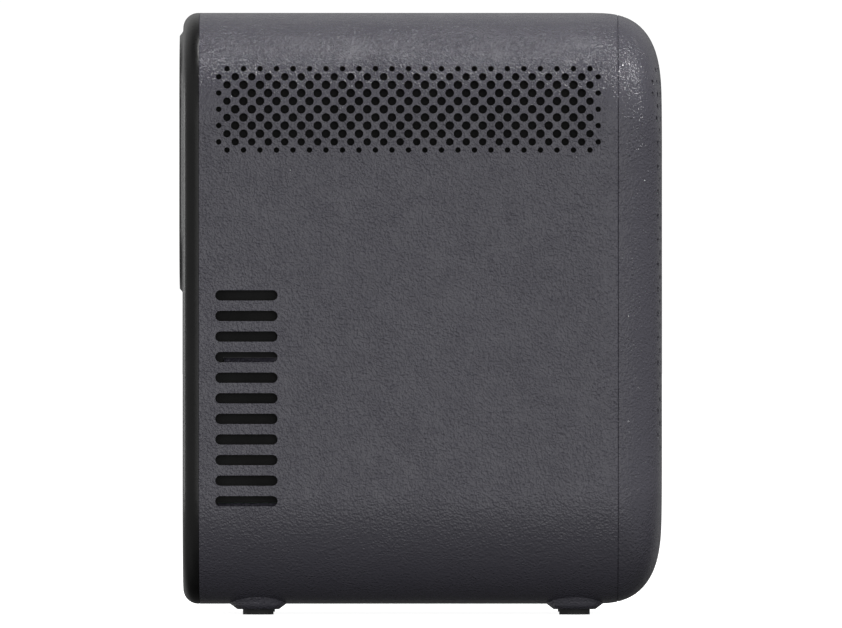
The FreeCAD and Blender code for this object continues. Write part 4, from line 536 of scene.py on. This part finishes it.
FINISHES = {
    "housing_plastic": spark_grain("charcoal_grain", (0.0415, 0.0395, 0.052),
                                   (0.0505, 0.0485, 0.0625), 0.19, 0.5),
    "cover_plastic": moulded("black_cover", 0.0025, 0.0040, 0.30, specular=0.28),
    "key_plastic": moulded("black_keys", 0.008, 0.011, 0.34, specular=0.3),
    "inner_plastic": moulded("black_inner_mouldings", 0.018, 0.022, 0.55),
    "tray_plastic": moulded("black_tray", 0.014, 0.018, 0.42, grain=0.6),
    "bezel_plastic": moulded("gloss_bezel", 0.008, 0.010, 0.18, depth=0.008, coat=0.4),
    "gear_plastic": moulded("white_gears", (0.62, 0.60, 0.54), (0.68, 0.66, 0.60), 0.45),
    "window_plastic": moulded("dark_red_window", (0.035, 0.004, 0.006), (0.045, 0.006, 0.008),
                              0.08, depth=0.004),
    "foot_rubber": moulded("black_rubber", 0.012, 0.016, 0.8, depth=0.05),
    "insert_brass": brushed("turned_brass", (0.72, 0.48, 0.20), 0.3, (12, 12, 1)),
    "board_laminate": laminate("green_board", (0.012, 0.085, 0.035), (0.05, 0.16, 0.06)),
    "component_plastic": moulded("chip_black", 0.02, 0.03, 0.5, grain=0.4),
    "screw_steel": brushed("blackened_screws", (0.075, 0.075, 0.08), 0.42),
    "port_steel": brushed("tinned_sockets", (0.62, 0.62, 0.60), 0.28),
    "can_steel": brushed("galvanised_can", (0.55, 0.56, 0.57), 0.38, (12, 1, 12)),
    "rod_steel": brushed("ground_rods", (0.70, 0.70, 0.71), 0.15, (12, 1, 12)),
    "motor_steel": brushed("motor_can", (0.50, 0.50, 0.52), 0.35),
    "sink_aluminium": brushed("extruded_sink", (0.66, 0.67, 0.69), 0.35, (12, 12, 1)),
    "sled_metal": moulded("cast_sled", (0.40, 0.40, 0.42), (0.48, 0.48, 0.50), 0.42, metallic=1.0),
    "lens_glass": glass("coated_glass", (0.66, 0.68, 0.78)),
    "panel_glass": glass("panel_glass", (0.42, 0.46, 0.50), 0.15, 1.5),
    "screen_mesh": moulded("black_mesh", 0.006, 0.010, 0.8, grain=0.5, depth=0.05, specular=0.2),
    "speaker_steel": brushed("pressed_basket", (0.30, 0.30, 0.32), 0.4),
    "cone_paper": moulded("black_paper_cone", 0.02, 0.03, 0.85, grain=1.2, depth=0.08),
}
slot_of_node = {row["node"]: row["material_slot"] for row in frame["record"]["subparts"]}


# ---- covers -----------------------------------------------------------------------------
def smooth(obj):
    """Smooth shading, with the housing's own curve as the normals of its outer surface."""
    mesh = obj.data
    mesh.shade_smooth()
    mesh.set_sharp_from_angle(angle=math.radians(SHARP_ANGLE))
    normals = [Vector((0, 0, 0))] * len(mesh.loops)
    for face in mesh.polygons:
        if abs(outside(face.center)) > SKIN_NEAR or face.center.y > REAR_SEAM_Y:
            continue
        if face.normal.dot(form_normal(face.center)) < SKIN_ALIGNED:
            continue
        for loop in face.loop_indices:
            normals[loop] = form_normal(mesh.vertices[mesh.loops[loop].vertex_index].co)
    mesh.normals_split_custom_set(normals)


def dress_cover(node, name, seams, make_tree, sizes):
    """Puts a grooved and drilled skin in the place of a cover."""
    finish = FINISHES["housing_plastic"]
    skin = merged_copy(node, name)
    skin.data.materials.append(finish)
    for seam in seams:
        groove = {"Cutter": seam, "Material": finish}
        run_tree(skin, grooved(groove), groove)
    holes = dict(sizes, Material=finish)
    run_tree(skin, make_tree(holes), holes)
    smooth(skin)
    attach(skin, "housing")
    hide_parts(node)


front_seam = seam_cutter(FRONT_SEAM_Y)
rear_seam = seam_cutter(REAR_SEAM_Y)
dress_cover("housing_sleeve", "sleeve", (front_seam, rear_seam), vented_wall, VENT_SIZES)
dress_cover("front_shell", "front_cover", (front_seam,), perforated_front, FINE_SIZES)
for cutter in (front_seam, rear_seam):
    bpy.data.objects.remove(cutter)


def painted_shade_block(name, side):
    """Dark rubber-finished block of painted shade in the narrow way past the drive to the tray
    mouth, so no light shows through the vents there.
    """
    corners = [Vector((side * x, y, z)) * MM for x in SHADE_BLOCK_X for y in SHADE_BLOCK_Y for z in SHADE_BLOCK_Z]
    strip = put(name, mesh_of(name, corners, [(0, 1, 3, 2), (4, 6, 7, 5), (0, 4, 5, 1),
                                              (2, 3, 7, 6), (0, 2, 6, 4), (1, 5, 7, 3)]))
    strip.data.materials.append(FINISHES["foot_rubber"])
    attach(strip, "housing")


# painted shade: a dark block on each side, so no light shows through the vents past the drive
painted_shade_block("seal_strip_left", 1)
painted_shade_block("seal_strip_right", -1)

for node, obj in frame["nodes"].items():
    finish = FINISHES[slot_of_node[node]]
    if not obj.data.materials:
        obj.data.materials.append(None)
    for slot in obj.material_slots:
        slot.link = "OBJECT"
        slot.material = finish


# ---- floor, light and camera ---------------------------------------------------------------
def floor():
    """Pale floor that throws no light back at the underside."""
    half = FLOOR_HALF
    corners = [(-half, -half, 0), (half, -half, 0), (half, half, 0), (-half, half, 0)]
    mesh = mesh_of("floor", corners, [(0, 1, 2, 3)])
    obj = put("floor", mesh)
    material, graph, place = new_material("pale_floor")
    cloud = noise(graph, place, 4.0, 2.0)
    tone = graph.mix(cloud, shade(0.70), shade(0.73))
    shader = graph.add("ShaderNodeBsdfPrincipled", {
        "Base Color": tone, "Roughness": 0.9, "Specular IOR Level": 0.1,
        "Emission Color": shade(1.0), "Emission Strength": FLOOR_GLOW})
    close_material(graph, shader)
    mesh.materials.append(material)
    obj.visible_diffuse = False
    obj.visible_glossy = False


def soft_light(name, place, size, power):
    data = bpy.data.lights.new(name, "AREA")
    data.shape = "DISK"
    data.size = size
    data.energy = power
    lamp = put(name, data)
    lamp.location = place
    lamp.rotation_euler = (Vector(AIM) - Vector(place)).to_track_quat("-Z", "Y").to_euler()
    lamp.visible_camera = False


def studio():
    """White backdrop for the camera, and for the object a room whose far half is darker.

    The room is brightest somewhat above the horizon.  Its far half darkens downwards,
    towards the front and straight behind the body.
    """
    world = bpy.data.worlds.new("studio")
    bpy.context.scene.world = world
    world.use_nodes = True
    world.node_tree.nodes.clear()
    graph = Graph(world.node_tree)
    direction = graph.add("ShaderNodeTexCoord")
    up = graph.add("ShaderNodeSeparateXYZ", {0: direction}, out=2)
    away = graph.add("ShaderNodeSeparateXYZ", {0: direction})
    ahead = graph.add("ShaderNodeSeparateXYZ", {0: direction}, out=1) * -1.0
    low = graph.math("MAXIMUM", up * -SHADE_LOW, 0.0)
    shaded = low + graph.math("MAXIMUM", ahead * SHADE_FRONT, 0.0)
    shaded = graph.math("MINIMUM", graph.math("MAXIMUM", away, 0.0) * shaded, SHADE_MOST)
    far = graph.ramp(away * 0.5 + 0.5, *FAR_SIDE)
    level = graph.ramp(up * 0.5 + 0.5, *SKY) * far * (1.0 - shaded)
    room = graph.add("ShaderNodeBackground", {"Color": level, "Strength": ROOM_STRENGTH})
    backdrop = graph.add("ShaderNodeBackground", {"Color": shade(1.0),
                                                  "Strength": BACKDROP_STRENGTH})
    seen = graph.add("ShaderNodeLightPath", out="Is Camera Ray")
    both = graph.add("ShaderNodeMixShader", {0: seen, 1: room, 2: backdrop})
    end = graph.tree.nodes.new("ShaderNodeOutputWorld")
    graph.tree.links.new(both.socket, end.inputs["Surface"])
    bpy.context.scene.view_settings.view_transform = "Standard"
    for lamp in LAMPS:
        soft_light(*lamp)


def camera():
    """Camera far off along -X, square to the side."""
    data = bpy.data.cameras.new("camera")
    data.lens = LENS
    data.sensor_width = SENSOR
    data.clip_start = 0.02
    data.clip_end = 500
    obj = put("camera", data)
    away = FRAME_W * PIXEL * LENS / SENSOR
    obj.location = (-away - PLANE_X, (BODY_MIDDLE - FRAME_W / 2) * PIXEL,
                    (GROUND_ROW - FRAME_H / 2) * PIXEL)
    obj.rotation_euler = (math.radians(90), 0, math.radians(-90))
    bpy.context.scene.camera = obj


floor()
studio()
camera()
